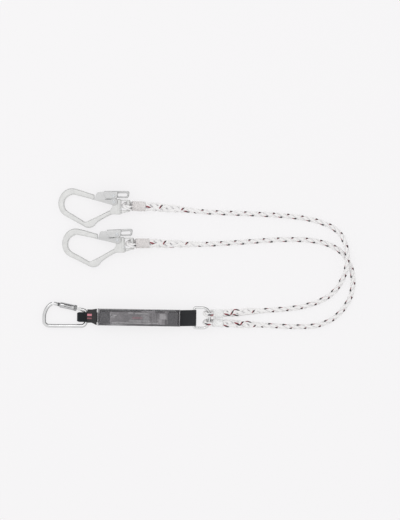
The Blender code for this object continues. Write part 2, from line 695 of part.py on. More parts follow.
def karabiner_gate(mats, pivot, hinge):
    run = Vector((GATE_NOSE[0] - GATE_HINGE[0], GATE_NOSE[1] - GATE_HINGE[1]))
    yaw = math.atan2(run.y, run.x)
    length = run.length - 1.2
    holder = empty("karabiner_gate_axis", (hinge[0], hinge[1], 0.0), (0.0, 0.0, yaw), pivot)
    profile = [(6.6, GATE_RADIUS), (length - 10.0, GATE_RADIUS), (length - 9.2, GATE_RADIUS + 0.7),
               (length - 1.0, GATE_RADIUS + 0.7), (length, GATE_RADIUS - 0.2)]
    bar = loft(turned(profile, 12))
    knuckle = [(8.0, -3.2)] + arc((0.0, 0.0), 4.4, -60, -300, 8) + [(8.0, 3.2)]
    bar = combine(bar, prism(knuckle, -FORK_HALF_SLOT + GAP, FORK_HALF_SLOT - GAP), "UNION")
    bar = combine(bar, prism(disc((0.0, 0.0), KRAB_PIN_RADIUS + PIN_PLAY, 12), -9.0, 9.0), "DIFFERENCE")
    add("karabiner_gate", bar, mats["polished"], parent=holder)

    start, stop = TWIST_SPAN
    wall = [(start, TWIST_OUTER - 0.5), (start + 0.8, TWIST_OUTER), (stop - 1.6, TWIST_OUTER),
            (stop, TWIST_OUTER - 1.6), (stop, TWIST_INNER), (start, TWIST_INNER)]
    tube_body = loft(turned(wall, 24), closed=True)
    window = [(x, y) for x, y in rounded_box(10.5, 2.6, 2.5, 3, (31.0, 0.0))]
    tube_body = combine(tube_body, prism(window, 2.0, 12.0), "DIFFERENCE")
    add("twist_sleeve", tube_body, mats["polished"], parent=holder)

    grip = []
    for x, radius in ((GRIP_SPAN[0], TWIST_OUTER - 0.4), (GRIP_SPAN[0] + 0.8, TWIST_OUTER + 0.3),
                      (GRIP_SPAN[1] - 0.8, TWIST_OUTER + 0.3), (GRIP_SPAN[1], TWIST_OUTER - 0.4)):
        ring = []
        for k in range(2 * GRIP_FLUTES):
            angle = math.pi * k / GRIP_FLUTES
            depth = radius - (0.5 if k % 2 else 0.0)
            ring.append((x, depth * math.cos(angle), depth * math.sin(angle)))
        grip.append(ring)
    for x in (GRIP_SPAN[1], GRIP_SPAN[0]):
        grip.append([(x, y, z) for y, z in disc((0.0, 0.0), TWIST_INNER, 2 * GRIP_FLUTES)])
    add("twist_grip_ring", loft(grip, closed=True), mats["dark_steel"], parent=holder)


# Scaffold hooks

def with_midpoints(points):
    # Puts a point on the smooth curve midway between each two.
    ends = [2 * points[0] - points[1]] + points + [2 * points[-1] - points[-2]]
    full = []
    for p0, p1, p2, p3 in zip(ends, ends[1:], ends[2:], ends[3:]):
        full += [p1, (9 * (p1 + p2) - p0 - p3) / 16]
    return full + [points[-1]]


def hook_body(mat, frame, name):
    rings = []
    outers = with_midpoints([Vector((*outer, half)) for outer, _, half in HOOK_RIBS])
    inners = with_midpoints([Vector((*inner, half)) for _, inner, half in HOOK_RIBS])
    for outer, inner in zip(outers, inners):
        half = outer.z
        middle = (outer.xy + inner.xy) / 2
        across = (outer.xy - inner.xy) / 2
        outline = rounded_box(across.length, half, 3.6, 2)
        across.normalize()
        rings.append([(middle.x + across.x * a, middle.y + across.y * a, b) for a, b in outline])
    body = loft(rings)
    hub = [(-46.5, -22.2), (-23.0, -23.1), (-18.6, -21.6), (-18.6, 14.6), (-22.0, 16.8), (-30.6, 17.2),
           (-33.2, 20.6), (-33.0, 26.0), (-35.0, 29.3), (-38.2, 30.6), (-41.8, 29.5), (-44.6, 26.0), (-46.0, 18.0),
           (-43.0, 8.0), (-42.0, 0.0), (-43.0, -5.6), (-48.0, -11.6)]
    body = combine(body, softened(prism(hub, -HUB_HALF, HUB_HALF), 1.0, 1), "UNION")
    shoulder = [(-27.3, -21.0), (-21.6, -21.4), (-21.6, 15.4), (-27.3, 16.0)]
    body = combine(body, prism(shoulder, -HUB_HALF - 1.3, HUB_HALF + 1.3), "UNION")
    for sign, outer, root in ((-1, 16.4, 21.0), (1, 15.2, 15.2)):
        arm = [(-20.4, EYE_HOLE_HALF), (1.0, EYE_HOLE_HALF), (3.2, EYE_HOLE_HALF + 1.2), (2.0, outer - 0.6),
               (-2.0, outer), (-20.4, root)]
        body = combine(body, prism([(u, sign * v) for u, v in arm], -EYE_ARM_HALF, EYE_ARM_HALF), "UNION")
    section = rounded_box(*EYE_BAR_HALF, EYE_BAR_ROUND, 3)
    bar = loft([[(u, v, z) for u, z in section] for v in (-EYE_HOLE_HALF - 3.0, EYE_HOLE_HALF + 2.2)])
    body = combine(body, bar, "UNION")
    floor = SPRING_TURNS * SPRING_PITCH + SPRING_WIRE + 2 * GAP - (GATE_OUTER_HALF - GATE_PLATE)
    pocket = prism(disc(GATE_PIVOT, SPRING_RADIUS + 2.2, 18), -HUB_HALF - 1.0, floor)
    body = combine(body, pocket, "DIFFERENCE")
    for centre in (GATE_PIVOT, LEVER_PIVOT):
        body = combine(body, prism(disc(centre, RIVET_RADIUS + PIN_PLAY, 14), -20.0, 20.0), "DIFFERENCE")
    add(name, body, mat, parent=frame, sharp=40.0)


def hook_gate(mat, frame, name):
    # A folded channel: two cheeks that straddle the forging, joined along the gate's back.
    pivot = Vector(GATE_PIVOT)
    outline = arc(GATE_PIVOT, GATE_REACH, 174.6, 152.0, 5)
    outline += [(-78.5, 35.4), (-70.0, 35.8), (-58.0, 35.0)]
    outline += arc(GATE_PIVOT, GATE_END_RADIUS, 52, -105, 8)
    local = [(u - pivot.x, v - pivot.y) for u, v in outline]
    gate = prism(local, -GATE_OUTER_HALF, GATE_OUTER_HALF)
    inner = GATE_OUTER_HALF - GATE_PLATE
    under = 33.2 - pivot.y
    opening = [(-70.0, -30.0), (30.0, -30.0), (30.0, under), (-70.0, under)]
    gate = combine(gate, prism(opening, -inner, inner), "DIFFERENCE")
    hole = prism(disc((0.0, 0.0), RIVET_RADIUS + PIN_PLAY, 14), -20.0, 20.0)
    gate = combine(gate, hole, "DIFFERENCE")
    add(name, gate, mat, parent=frame, location=(*GATE_PIVOT, 0.0))


def hook_lever(mat, frame, name):
    # The lock lever: a channel over the gate's tail, drawn out into a slotted finger piece.
    pivot = Vector(LEVER_PIVOT)
    cheek = [(-63.7, 38.2), (-63.7, 28.0), (-57.5, 19.0), (-33.0, 18.2), (-29.0, 21.5), (-27.6, 38.2)]
    channel = prism([(u - pivot.x, v - pivot.y) for u, v in cheek], -LEVER_OUTER_HALF, LEVER_OUTER_HALF)
    inner = LEVER_OUTER_HALF - LEVER_PLATE
    under = 38.2 - LEVER_WEB - pivot.y
    opening = [(-40.0, -30.0), (30.0, -30.0), (30.0, under), (-40.0, under)]
    channel = combine(channel, prism(opening, -inner, inner), "DIFFERENCE")
    handle = [(-31.0, 38.0), (-2.0, 38.0), (1.2, 36.6), (2.2, 33.0), (1.2, 25.6), (-0.8, 21.0),
              (-3.9, 19.6), (-25.0, 20.2), (-29.0, 21.4), (-31.0, 25.0)]
    finger = prism([(u - pivot.x, v - pivot.y) for u, v in handle], -HANDLE_HALF, HANDLE_HALF)
    slot = rounded_box(12.9, 4.2, 3.0, 3, (-15.6 - pivot.x, 28.1 - pivot.y))
    finger = combine(finger, prism(slot, -20.0, 20.0), "DIFFERENCE")
    lever = combine(channel, finger, "UNION")
    hole = prism(disc((0.0, 0.0), RIVET_RADIUS + PIN_PLAY, 14), -20.0, 20.0)
    lever = combine(lever, hole, "DIFFERENCE")
    add(name, lever, mat, parent=frame, location=(*LEVER_PIVOT, 0.0))


def rivet(mat, frame, name, centre, half_grip):
    reach = half_grip + GAP
    head = reach + RIVET_HEAD_HEIGHT
    profile = [(-head, 2.6), (-head + 0.6, RIVET_HEAD), (-reach, RIVET_HEAD), (-reach, RIVET_RADIUS),
               (reach, RIVET_RADIUS), (reach, RIVET_HEAD), (head - 0.6, RIVET_HEAD), (head, 2.6)]
    rings = [[(x, y, z) for x, y in disc((0.0, 0.0), radius, 14)] for z, radius in profile]
    add(name, loft(rings), mat, parent=frame, location=(*centre, 0.0))


def gate_spring(mat, frame, name):
    # A torsion spring round the gate's rivet, between the gate's lower cheek and its pocket.
    line = []
    start = -(GATE_OUTER_HALF - GATE_PLATE) + GAP + SPRING_WIRE / 2
    for k in range(round(SPRING_TURNS * 10) + 1):
        angle = 2 * math.pi * k / 10
        line.append(Vector((SPRING_RADIUS * math.cos(angle), SPRING_RADIUS * math.sin(angle),
                            start + SPRING_PITCH * k / 10)))
    add(name, loft(tube(line, [SPRING_WIRE / 2] * len(line), 6)), mat, parent=frame,
        location=(*GATE_PIVOT, 0.0))


def scaffold_hook(letter, mats, eye, yaw, bar_z):
    tilt = -math.asin((bar_z - NOSE_HALF) / abs(NOSE_REST_U))
    frame = empty("hook_" + letter + "_frame", (eye[0], eye[1], bar_z), (0.0, tilt, math.radians(yaw)))
    hook_body(mats["aluminium"], frame, "hook_body_" + letter)
    hook_gate(mats["aluminium"], frame, "hook_gate_" + letter)
    hook_lever(mats["aluminium"], frame, "lock_lever_" + letter)
    rivet(mats["steel"], frame, "gate_rivet_" + letter, GATE_PIVOT, GATE_OUTER_HALF)
    rivet(mats["steel"], frame, "lever_rivet_" + letter, LEVER_PIVOT, LEVER_OUTER_HALF)
    gate_spring(mats["steel"], frame, "gate_spring_" + letter)


def throat_point(bar, toward):
    away = (Vector(toward) - Vector(bar)).normalized()
    return bar[0] + away.x * THROAT_START, bar[1] + away.y * THROAT_START


def main():
    clear_scene()
    mats = {
        "webbing": material("black webbing", (0.028, 0.028, 0.031), 0.85),
        "label": material("label sleeve", (0.02, 0.02, 0.022), 0.8),
        "fold": material("grey tear webbing", (0.16, 0.16, 0.16), 0.9),
        "card": material("grey label insert", (0.10, 0.10, 0.10), 0.6),
        "clear": material("clear film", (0.85, 0.86, 0.86), 0.15, 0.0, 0.35),
        "rope": material("white rope", (0.82, 0.81, 0.80), 0.75),
        "polished": material("polished steel", (0.75, 0.75, 0.76), 0.18, 1.0),
        "steel": material("plated steel", (0.62, 0.62, 0.63), 0.3, 1.0),
        "dark_steel": material("knurled steel", (0.35, 0.35, 0.36), 0.4, 1.0),
        "aluminium": material("matt aluminium", (0.72, 0.72, 0.71), 0.45, 1.0),
    }
    ring_z = RING_WIRE / 2 + 2 * EYE_ROPE_RADIUS + 2 * GAP
    bar_z = EYE_REACH + EYE_ROPE_RADIUS

    top = tear_webbing(mats["fold"])
    clear_cover(mats["clear"])
    label_insert(mats["card"], top)
    ring_loop(mats["webbing"], ring_z)
    over = krab_loop(mats["webbing"])
    label_sleeve(mats["label"], over)
    d_ring(mats["steel"], ring_z)

    pivot = empty("karabiner_axis", (KRAB_AXIS_X, 0.0, KRAB_Z))
    hinge = karabiner_frame(mats["polished"], pivot)
    karabiner_gate(mats, pivot, hinge)

    scaffold_hook("a", mats, HOOK_EYE_A, HOOK_YAW_A, bar_z)
    scaffold_hook("b", mats, HOOK_EYE_B, HOOK_YAW_B, bar_z)

    ring_a = (RING_BOW_X, RING_Y + EYE_OFFSET)
    ring_b = (RING_BOW_X, RING_Y - EYE_OFFSET)
    line_a = leg_line(throat_point(HOOK_EYE_A, ROUTE_A[0]), ROUTE_A, (ring_a[0] + THROAT_START, ring_a[1]))
    line_b = leg_line(throat_point(HOOK_EYE_B, ROUTE_B[0]), ROUTE_B, (ring_b[0] + THROAT_START, ring_b[1]))
    over_at, _ = crossing(line_a, line_b)
    lengths_a = lift_line(line_a, over_at)
    lengths_b = lift_line(line_b)
    rope_leg("a", mats, HOOK_EYE_A, bar_z, ring_a, ring_z, line_a, lengths_a)
    rope_leg("b", mats, HOOK_EYE_B, bar_z, ring_b, ring_z, line_b, lengths_b)
    bpy.context.view_layer.update()


main()
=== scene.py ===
import math

import bmesh
import bpy
from mathutils import Euler, Matrix, Vector, noise


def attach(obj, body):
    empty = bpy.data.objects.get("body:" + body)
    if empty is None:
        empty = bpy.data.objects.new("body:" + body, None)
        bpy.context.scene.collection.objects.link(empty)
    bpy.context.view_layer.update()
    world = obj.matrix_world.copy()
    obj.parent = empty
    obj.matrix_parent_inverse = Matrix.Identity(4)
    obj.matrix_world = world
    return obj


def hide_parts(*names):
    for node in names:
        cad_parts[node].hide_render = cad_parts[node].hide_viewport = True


# Twin rope lanyard with a folded webbing absorber, laid flat on a pale floor.
# Lengths in the code are millimetres unless a note says metres; meshes are in metres.

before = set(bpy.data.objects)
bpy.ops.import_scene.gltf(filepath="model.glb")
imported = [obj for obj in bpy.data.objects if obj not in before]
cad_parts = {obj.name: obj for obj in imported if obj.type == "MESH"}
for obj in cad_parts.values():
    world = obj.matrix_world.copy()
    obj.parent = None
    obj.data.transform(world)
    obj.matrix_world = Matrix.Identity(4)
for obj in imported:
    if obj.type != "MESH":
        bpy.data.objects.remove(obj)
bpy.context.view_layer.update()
mm = 0.001


def hexColour(text):  # sRGB hex to linear
    values = [int(text[i:i + 2], 16) / 255 for i in (1, 3, 5)]
    return [v / 12.92 if v <= 0.04045 else ((v + 0.055) / 1.055) ** 2.4 for v in values] + [1.0]


def addNode(tree, kind, inputs=None, output=0, **settings):  # gives back one output socket
    node = tree.nodes.new("ShaderNode" + kind)
    for key, value in settings.items():
        setattr(node, key, value)
    for key, value in (inputs or {}).items():
        if isinstance(value, bpy.types.NodeSocket):
            tree.links.new(value, node.inputs[key])
        else:
            node.inputs[key].default_value = value
    return node.outputs[output]


def newMaterial(name, colour, roughness, metallic=0.0, **constants):
    material = bpy.data.materials.new(name)
    material.use_nodes = True
    shader = material.node_tree.nodes["Principled BSDF"]
    shader.inputs["Base Color"].default_value = hexColour(colour)
    shader.inputs["Roughness"].default_value = roughness
    shader.inputs["Metallic"].default_value = metallic
    for key, value in constants.items():
        shader.inputs[key].default_value = value
    return material, material.node_tree, shader


def dressShader(tree, shader, **sockets):  # links sockets into the shader, by input name
    for key, socket in sockets.items():
        tree.links.new(socket, shader.inputs[key.replace("_", " ")])


def wrapGrid(bm, rings, uvOf=None, closed=True, capped=True):
    # a flat grid whose corners are moved on to the rings' points; closed joins its long sides
    across = len(rings[0]) if closed else len(rings[0]) - 1
    along = len(rings) - 1
    uvLayer = bm.loops.layers.uv.get("UVMap") or bm.loops.layers.uv.new("UVMap")
    made = bmesh.ops.create_grid(bm, x_segments=across, y_segments=along, size=0.5)["verts"]
    place = {}
    for vert in made:
        place[vert] = (round((vert.co.x + 0.5) * across), round((vert.co.y + 0.5) * along))
    faces = {face for vert in made for face in vert.link_faces}
    for face in faces:
        corners = [place[loop.vert] for loop in face.loops]
        first = min(c for c, _ in corners)
        for loop, (c, r) in zip(face.loops, corners):
            loop[uvLayer].uv = uvOf(first, c, r) if uvOf else (c / across, r / along)
    start = {}
    for vert, (c, r) in place.items():
        vert.co = Vector(rings[r][c % len(rings[0])]) * mm
        if c == 0:
            start[r] = vert
    if closed:
        seam = {vert: start[r] for vert, (c, r) in place.items() if c == across}
        bmesh.ops.weld_verts(bm, targetmap=seam)
    if capped:
        edges = {edge for vert in made if vert.is_valid for edge in vert.link_edges if edge.is_boundary}
        bmesh.ops.holes_fill(bm, edges=list(edges), sides=0)
    return bm


def placeShape(name, bm):
    mesh = bpy.data.meshes.new(name)
    bm.to_mesh(mesh)
    bm.free()
    piece = bpy.data.objects.new(name, mesh)
    bpy.context.scene.collection.objects.link(piece)
    return piece


def addModifier(piece, name, kind, **settings):
    modifier = piece.modifiers.new(name, kind)
    for key, value in settings.items():
        setattr(modifier, key, value)


def finishPiece(name, bm, material, body, stands=(), sharp=40.0):
    bmesh.ops.recalc_face_normals(bm, faces=bm.faces)
    piece = placeShape(name, bm)
    piece.data.materials.append(material)
    piece.data.shade_smooth()
    piece.data.set_sharp_from_angle(angle=math.radians(sharp))
    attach(piece, body)
    if stands:
        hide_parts(*stands)
    return piece


def smoothLine(points, step):  # a smooth curve through the points, read off at even steps
    ends = [2 * points[0] - points[1]] + points + [2 * points[-1] - points[-2]]
    dense = []
    for p0, p1, p2, p3 in zip(ends, ends[1:], ends[2:], ends[3:]):
        for k in range(24):
            t = k / 24
            dense.append(0.5 * (2 * p1 + (p2 - p0) * t + (2 * p0 - 5 * p1 + 4 * p2 - p3) * t * t
                                + (3 * p1 - p0 - 3 * p2 + p3) * t ** 3))
    dense.append(points[-1])
    return evenLine(dense, step)


def evenLine(dense, step):
    lengths = lineLengths(dense)
    count = max(2, round(lengths[-1] / step))
    line = []
    k = 0
    for i in range(count + 1):
        target = lengths[-1] * i / count
        while k < len(dense) - 2 and lengths[k + 1] < target:
            k += 1
        span = max(lengths[k + 1] - lengths[k], 1e-9)
        line.append(dense[k].lerp(dense[k + 1], min(1.0, max(0.0, (target - lengths[k]) / span))))
    return line


def lineLengths(line):
    lengths = [0.0]
    for a, b in zip(line, line[1:]):
        lengths.append(lengths[-1] + (b - a).length)
    return lengths


def carryFrames(line, left):  # a point, its direction, and two crossways directions that don't spin
    frames = []
    last = len(line) - 1
    for i, point in enumerate(line):
        along = (line[min(i + 1, last)] - line[max(i - 1, 0)]).normalized()
        left = (left - along * left.dot(along)).normalized()
        frames.append((point, along, left, along.cross(left)))
    return frames


def smoothStep(t):
    t = max(0.0, min(1.0, t))
    return t * t * (3 - 2 * t)


# rope: white three-strand nylon, right-hand laid, with one black and one red tracer yarn
rope = {
    "diameter": 14.0,
    "layLength": 55.75,     # one full turn of a strand
    "strandOffset": 2.85,   # strand's middle from the rope's middle
    "strandRadius": 4.15,
    "pointsPerStrand": 12,
    "ringStep": 1.3,
    "yarnSpacing": 0.95,
    "markRun": 111.5,       # along the rope from one tracer mark on a strand to its next
    "white": "#FAF9F8",
    # painted shade for the grooves between strands and between yarns
    "grooveShade": "#D2D0D2",
    "black": "#111013",
    "red": "#8E1430",
    "markMiddle": 20.0,     # where a mark lies in its own run
    "markSide": 42.0,       # degrees round from the near edge to the first mark
    "markAtA": 198.8,       # X of one upper mark on leg a
    "markAtB": 212.0,
    "hookSplice": 165.0,
    "ringSplice": 125.0,
}

# the same routes in plan as the CAD ropes, in metres, from each hook's throat to the D-ring
routeA = [
    (0.0247, 0.2885), (0.0507, 0.2871), (0.0768, 0.2849), (0.1158, 0.2823), (0.1627, 0.2780),
    (0.2069, 0.2760), (0.2772, 0.2745), (0.3162, 0.2734), (0.3552, 0.2719), (0.3943, 0.2691),
    (0.4333, 0.2640), (0.4673, 0.2559), (0.5005, 0.2420), (0.5251, 0.2195), (0.5378, 0.1870),
    (0.5402, 0.1531), (0.5345, 0.1230), (0.5190, 0.0910), (0.4970, 0.0665), (0.4670, 0.0488),
    (0.4320, 0.0368), (0.3950, 0.0299), (0.3357, 0.0240), (0.2890, 0.0204), (0.2500, 0.0169),
    (0.2210, 0.0149),
]
routeB = [
    (0.0106, 0.1934), (0.0522, 0.1932), (0.1042, 0.1929), (0.1562, 0.1930), (0.1890, 0.1942),
    (0.2212, 0.1967), (0.2602, 0.1998), (0.2965, 0.2031), (0.3329, 0.2062), (0.3718, 0.2086),
    (0.4082, 0.2093), (0.4446, 0.2076), (0.4811, 0.2006), (0.5139, 0.1860), (0.5379, 0.1615),
    (0.5523, 0.1299), (0.5555, 0.0922), (0.5471, 0.0570), (0.5270, 0.0254), (0.4985, 0.0009),
    (0.4637, -0.0129), (0.4274, -0.0169), (0.3884, -0.0172), (0.3519, -0.0158), (0.3155, -0.0146),
    (0.2765, -0.0136), (0.2400, -0.0124),
]

# distance from the throat, half width, half height and squareness of the spliced rope
hookSpliceShape = [
    (0.0, 12.1, 13.2, 3.4), (12.0, 12.1, 11.8, 2.9), (28.0, 11.8, 9.8, 2.4), (58.0, 11.3, 8.9, 2.0),
    (100.0, 9.8, 8.2, 2.0), (140.0, 7.9, 7.3, 2.0), (165.0, 7.0, 7.0, 2.0),
]
ringSpliceShape = [
    (0.0, 10.0, 12.2, 3.4), (10.0, 9.9, 11.6, 3.0), (22.0, 9.9, 10.2, 2.5), (45.0, 10.4, 8.9, 2.1),
    (80.0, 9.8, 8.4, 2.0), (105.0, 8.2, 7.5, 2.0), (125.0, 7.0, 7.0, 2.0),
]

legPlan = {
    "throatStart": 14.0,    # from the bar's middle to the rope's throat
    "eyeRadius": 6.2,
    "hookEyes": {"a": (-31.2, 290.5), "b": (-19.8, 192.6)},  # the hooks' bars
    "hookBarZ": 18.1,
    "eyeCover": 0.5,        # the splice's skin over the strands that enter it
    "ringBowX": 184.2,
    "ringY": 1.8,
    "ringZ": 16.5,
    "eyeApart": 12.0,       # each ring eye from the D-ring's middle
    "hookSleeve": (3.5, 28.0),
    "ringSleeve": (3.5, 17.0),
    "sleeveWall": 1.5,      # film and its clearance
    "crossingRise": 14.8,
    "crossingFlat": 24.0,
    "crossingRamp": 62.0,
}


def spliceSection(distance, shape):  # half width, half height, squareness
    for near, far in zip(shape, shape[1:]):
        if distance <= far[0]:
            t = smoothStep((distance - near[0]) / (far[0] - near[0]))
            return [near[k] + (far[k] - near[k]) * t for k in (1, 2, 3)]
    return list(shape[-1][1:])


def sleeveLift(distance, sleeve):
    if distance <= sleeve[1] + 2.0:
        return legPlan["sleeveWall"]
    return max(0.0, legPlan["sleeveWall"] * (1.0 - (distance - sleeve[1] - 2.0) / 40.0))


def legLine(bar, route, ringY):
    points = [Vector((x, y, 0.0)) / mm for x, y in route]
    bar = Vector((*bar, 0.0))
    throat = bar + (points[0] - bar).normalized() * legPlan["throatStart"]
    ring = Vector((legPlan["ringBowX"] + legPlan["throatStart"], ringY, 0.0))
    return smoothLine([throat] + points + [ring], 2.0)


def liftLine(line, overAt=None):
    # heights: the rope's own radius, and more at the splices, in the sleeves and at the crossing
    lengths = lineLengths(line)
    for point, fromHook in zip(line, lengths):
        fromRing = lengths[-1] - fromHook
        height = rope["diameter"] / 2
        for distance, length, shape, sleeve in (
                (fromHook, rope["hookSplice"], hookSpliceShape, legPlan["hookSleeve"]),
                (fromRing, rope["ringSplice"], ringSpliceShape, legPlan["ringSleeve"])):
            if distance < length:
                height = spliceSection(distance, shape)[1] + sleeveLift(distance, sleeve)
        if overAt is not None:
            away = abs(fromHook - lengths[overAt]) - legPlan["crossingFlat"]
            height += legPlan["crossingRise"] * smoothStep(1.0 - away / legPlan["crossingRamp"])
        point.z = height
    return lengths[-1]


def crossingOf(lineA, lineB):
    pairs = ((i, j) for i in range(0, len(lineA), 2) for j in range(0, len(lineB), 2))
    return min(pairs, key=lambda pair: (lineA[pair[0]] - lineB[pair[1]]).length_squared)[0]


ringA = legPlan["ringY"] + legPlan["eyeApart"]
ringB = legPlan["ringY"] - legPlan["eyeApart"]
lineA = legLine(legPlan["hookEyes"]["a"], routeA, ringA)
lineB = legLine(legPlan["hookEyes"]["b"], routeB, ringB)
flatLengthA = liftLine(lineA, crossingOf(lineA, lineB))
flatLengthB = liftLine(lineB)


def ropeMaterial(name, markRun, dashes):
    # Nylon rope: soft white yarns, dull with a faint sheen, two dyed tracer yarns that surface
    # as short dashes. UV is in millimetres: round the strand, and along the rope.
    material, tree, shader = newMaterial(name, rope["white"], 0.72)
    shader.inputs["Sheen Weight"].default_value = 0.25
    shader.inputs["Sheen Roughness"].default_value = 0.5
    uv = addNode(tree, "UVMap", uv_map="UVMap")
    around = addNode(tree, "SeparateXYZ", {0: uv})
    run = addNode(tree, "Math", {0: around.node.outputs["Y"], 1: markRun}, operation="FLOORED_MODULO")
    place = addNode(tree, "CombineXYZ", {0: around, 1: run})

    # yarns lie 46 degrees across the strand, 0.95 mm apart
    turned = addNode(tree, "Mapping", {0: uv, "Rotation": (0.0, 0.0, math.radians(-46.4))})
    acrossYarns = addNode(tree, "SeparateXYZ", {0: turned})
    wobble = addNode(tree, "TexNoise", {"Vector": turned, "Scale": 0.35, "Detail": 2.0})
    shifted = addNode(tree, "Math", {0: wobble, 1: 0.55, 2: acrossYarns}, operation="MULTIPLY_ADD")
    wave = addNode(tree, "Math", {0: shifted, 1: math.pi / rope["yarnSpacing"]}, operation="MULTIPLY")
    ridge = addNode(tree, "Math", {0: wave}, operation="SINE")
    ridge = addNode(tree, "Math", {0: ridge}, operation="ABSOLUTE")

    # fibres: fine streaks along the yarns, about 0.2 mm wide
    streaks = addNode(tree, "Mapping", {0: turned, "Scale": (5.0, 0.6, 1.0)})
    fibres = addNode(tree, "TexNoise",
                     {"Vector": streaks, "Scale": 1.0, "Detail": 3.0, "Roughness": 0.6})
    soil = addNode(tree, "TexNoise", {"Vector": place, "Scale": 0.07, "Detail": 3.0})

    # painted shade: darker in the grooves between strands, and between the yarns
    depth = addNode(tree, "Math", {0: around}, operation="ABSOLUTE")
    grooveShade = addNode(tree, "MapRange", {0: depth, 1: 4.2, 2: 7.2, 3: 0.0, 4: 1.0})
    yarnGapShade = addNode(tree, "MapRange", {0: ridge, 1: 0.0, 2: 0.75, 3: 0.55, 4: 0.0})
    grooveAndYarnShade = addNode(tree, "Math", {0: grooveShade, 1: yarnGapShade}, operation="MAXIMUM")
    soiled = addNode(tree, "MapRange", {0: soil, 1: 0.35, 2: 0.8, 3: 0.0, 4: 0.35})
    dulled = addNode(tree, "MapRange", {0: fibres, 1: 0.3, 2: 0.7, 3: 0.0, 4: 0.25})
    layers = [(grooveAndYarnShade, rope["grooveShade"]), (soiled, "#F0EDEE"), (dulled, "#E8E6E7")]

    # the tracer yarns, broken up a little by the white fibres that cross them
    broken = addNode(tree, "MapRange", {0: fibres, 1: 0.25, 2: 0.6, 3: 0.85, 4: 1.0})
    slope = math.atan2(1.0, -1.05)
    for aroundAt, alongAt, halfLong, halfWide, colour in dashes:
        local = addNode(tree, "Mapping", {0: place, "Location": (aroundAt, alongAt, 0.0),
                                          "Rotation": (0.0, 0.0, slope),
                                          "Scale": (halfLong, halfWide, 1.0)}, vector_type="TEXTURE")
        inside = addNode(tree, "TexGradient", {0: local}, output=1, gradient_type="SPHERICAL")
        mask = addNode(tree, "MapRange", {0: inside, 1: 0.0, 2: 0.14, 3: 0.0, 4: 1.0})
        layers.append((addNode(tree, "Math", {0: mask, 1: broken}, operation="MULTIPLY"), rope[colour]))
    tone = hexColour(rope["white"])
    for mask, colour in layers:
        tone = addNode(tree, "Mix", {"Factor": mask, 6: tone, 7: hexColour(colour)}, output=2,
                       data_type="RGBA")
    height = addNode(tree, "Math", {0: fibres, 1: 0.35, 2: ridge}, operation="MULTIPLY_ADD")
    bump = addNode(tree, "Bump", {"Height": height, "Distance": 0.3 * mm, "Strength": 0.8})
    dressShader(tree, shader, Base_Color=tone, Normal=bump)
    return material


def laidSkin(bm, frames, distances, scales, markAt, phaseAt):
    # the rope's three-lobed skin; each lobe is one strand, its UV in millimetres
    per = rope["pointsPerStrand"]
    offset, radius = rope["strandOffset"], rope["strandRadius"]
    third = math.radians(60)  # from a strand's middle to the groove beside it
    half = third + math.asin(offset * math.sin(third) / radius)
    rings = []
    for (point, along, left, up), s, scale in zip(frames, distances, scales):
        turn = math.radians(rope["markSide"]) + 2 * math.pi * (s - phaseAt) / rope["layLength"]
        ring = []
        for k in range(3):
            lobe = turn + 2 * math.pi * k / 3
            for j in range(per):
                psi = lobe - half + 2 * half * j / per
                a = (offset * math.cos(lobe) + radius * math.cos(psi)) * scale
                b = (offset * math.sin(lobe) + radius * math.sin(psi)) * scale
                ring.append(point + left * a + up * b)
        rings.append(ring)

    def strandUv(first, c, r):
        k = first // per
        u = (-half + 2 * half * (c - k * per) / per) * radius
        return (u, distances[r] - markAt - rope["markRun"] / 3 * k + rope["markMiddle"])

    return wrapGrid(bm, rings, strandUv)


def freeRope(letter, line, markX, material):
    line = evenLine(line, rope["ringStep"])
    lengths = lineLengths(line)
    frames = carryFrames(line, Vector((0.0, 1.0, 0.0)))
    markAt = next(s for p, s in zip(line, lengths) if p.x > markX)
    scales = []
    for s in lengths:  # it thins where it goes in among the strands of a splice
        inHook = smoothStep((s - rope["hookSplice"] + 22.0) / 20.0)
        inRing = smoothStep((lengths[-1] - s - rope["ringSplice"] + 22.0) / 20.0)
        scales.append(0.72 + 0.28 * min(inHook, inRing))
    bm = bmesh.new()
    laidSkin(bm, frames, lengths, scales, markAt, markAt)
    piece = finishPiece("ropeLeg_" + letter, bm, material, "leg_" + letter, ("rope_leg_" + letter,),
                        75.0)
    return markAt


print("ropes")
# each dash: round the strand, along it, half length, half width, colour
ropeDashes = [
    (2.4, 19.3, 5.6, 1.1, "red"), (0.0, 20.0, 5.4, 2.0, "black"),
    (2.2, 33.6, 6.0, 2.6, "red"), (-2.6, 38.4, 5.2, 2.3, "black"),
    (2.0, 50.3, 7.0, 1.1, "red"), (0.0, 51.0, 7.8, 1.5, "black"),
]
# a splice's strands show one broad mark each
spliceDashes = [(1.6, 16.5, 7.5, 1.9, "red"), (-1.4, 21.2, 6.5, 1.7, "black")]
ropeWhite = ropeMaterial("laid nylon rope", rope["markRun"], ropeDashes)
spliceWhite = ropeMaterial("spliced nylon strands", 2.5 * rope["markRun"], spliceDashes)
markA = freeRope("a", lineA, rope["markAtA"], ropeWhite)
markB = freeRope("b", lineB, rope["markAtB"], ropeWhite)


# camera, floor and light
studio = {
    "viewMiddle": (0.1569, 0.1522),  # metres
    "viewHeight": 1.352,             # metres
    "viewTurn": 0.9,
    "floor": "#F6F5F6",
    "skyStrength": 0.93,
    "softboxWatts": 7.6,
    "darkWall": (0.6, 0.8, 0.0),     # the way to the room's darker side
    "wallShade": 0.9,                # how much darker its lower walls are to polished metal
    "floorGlow": 0.84,               # share of the paper that is lit from within, as on a light table
}


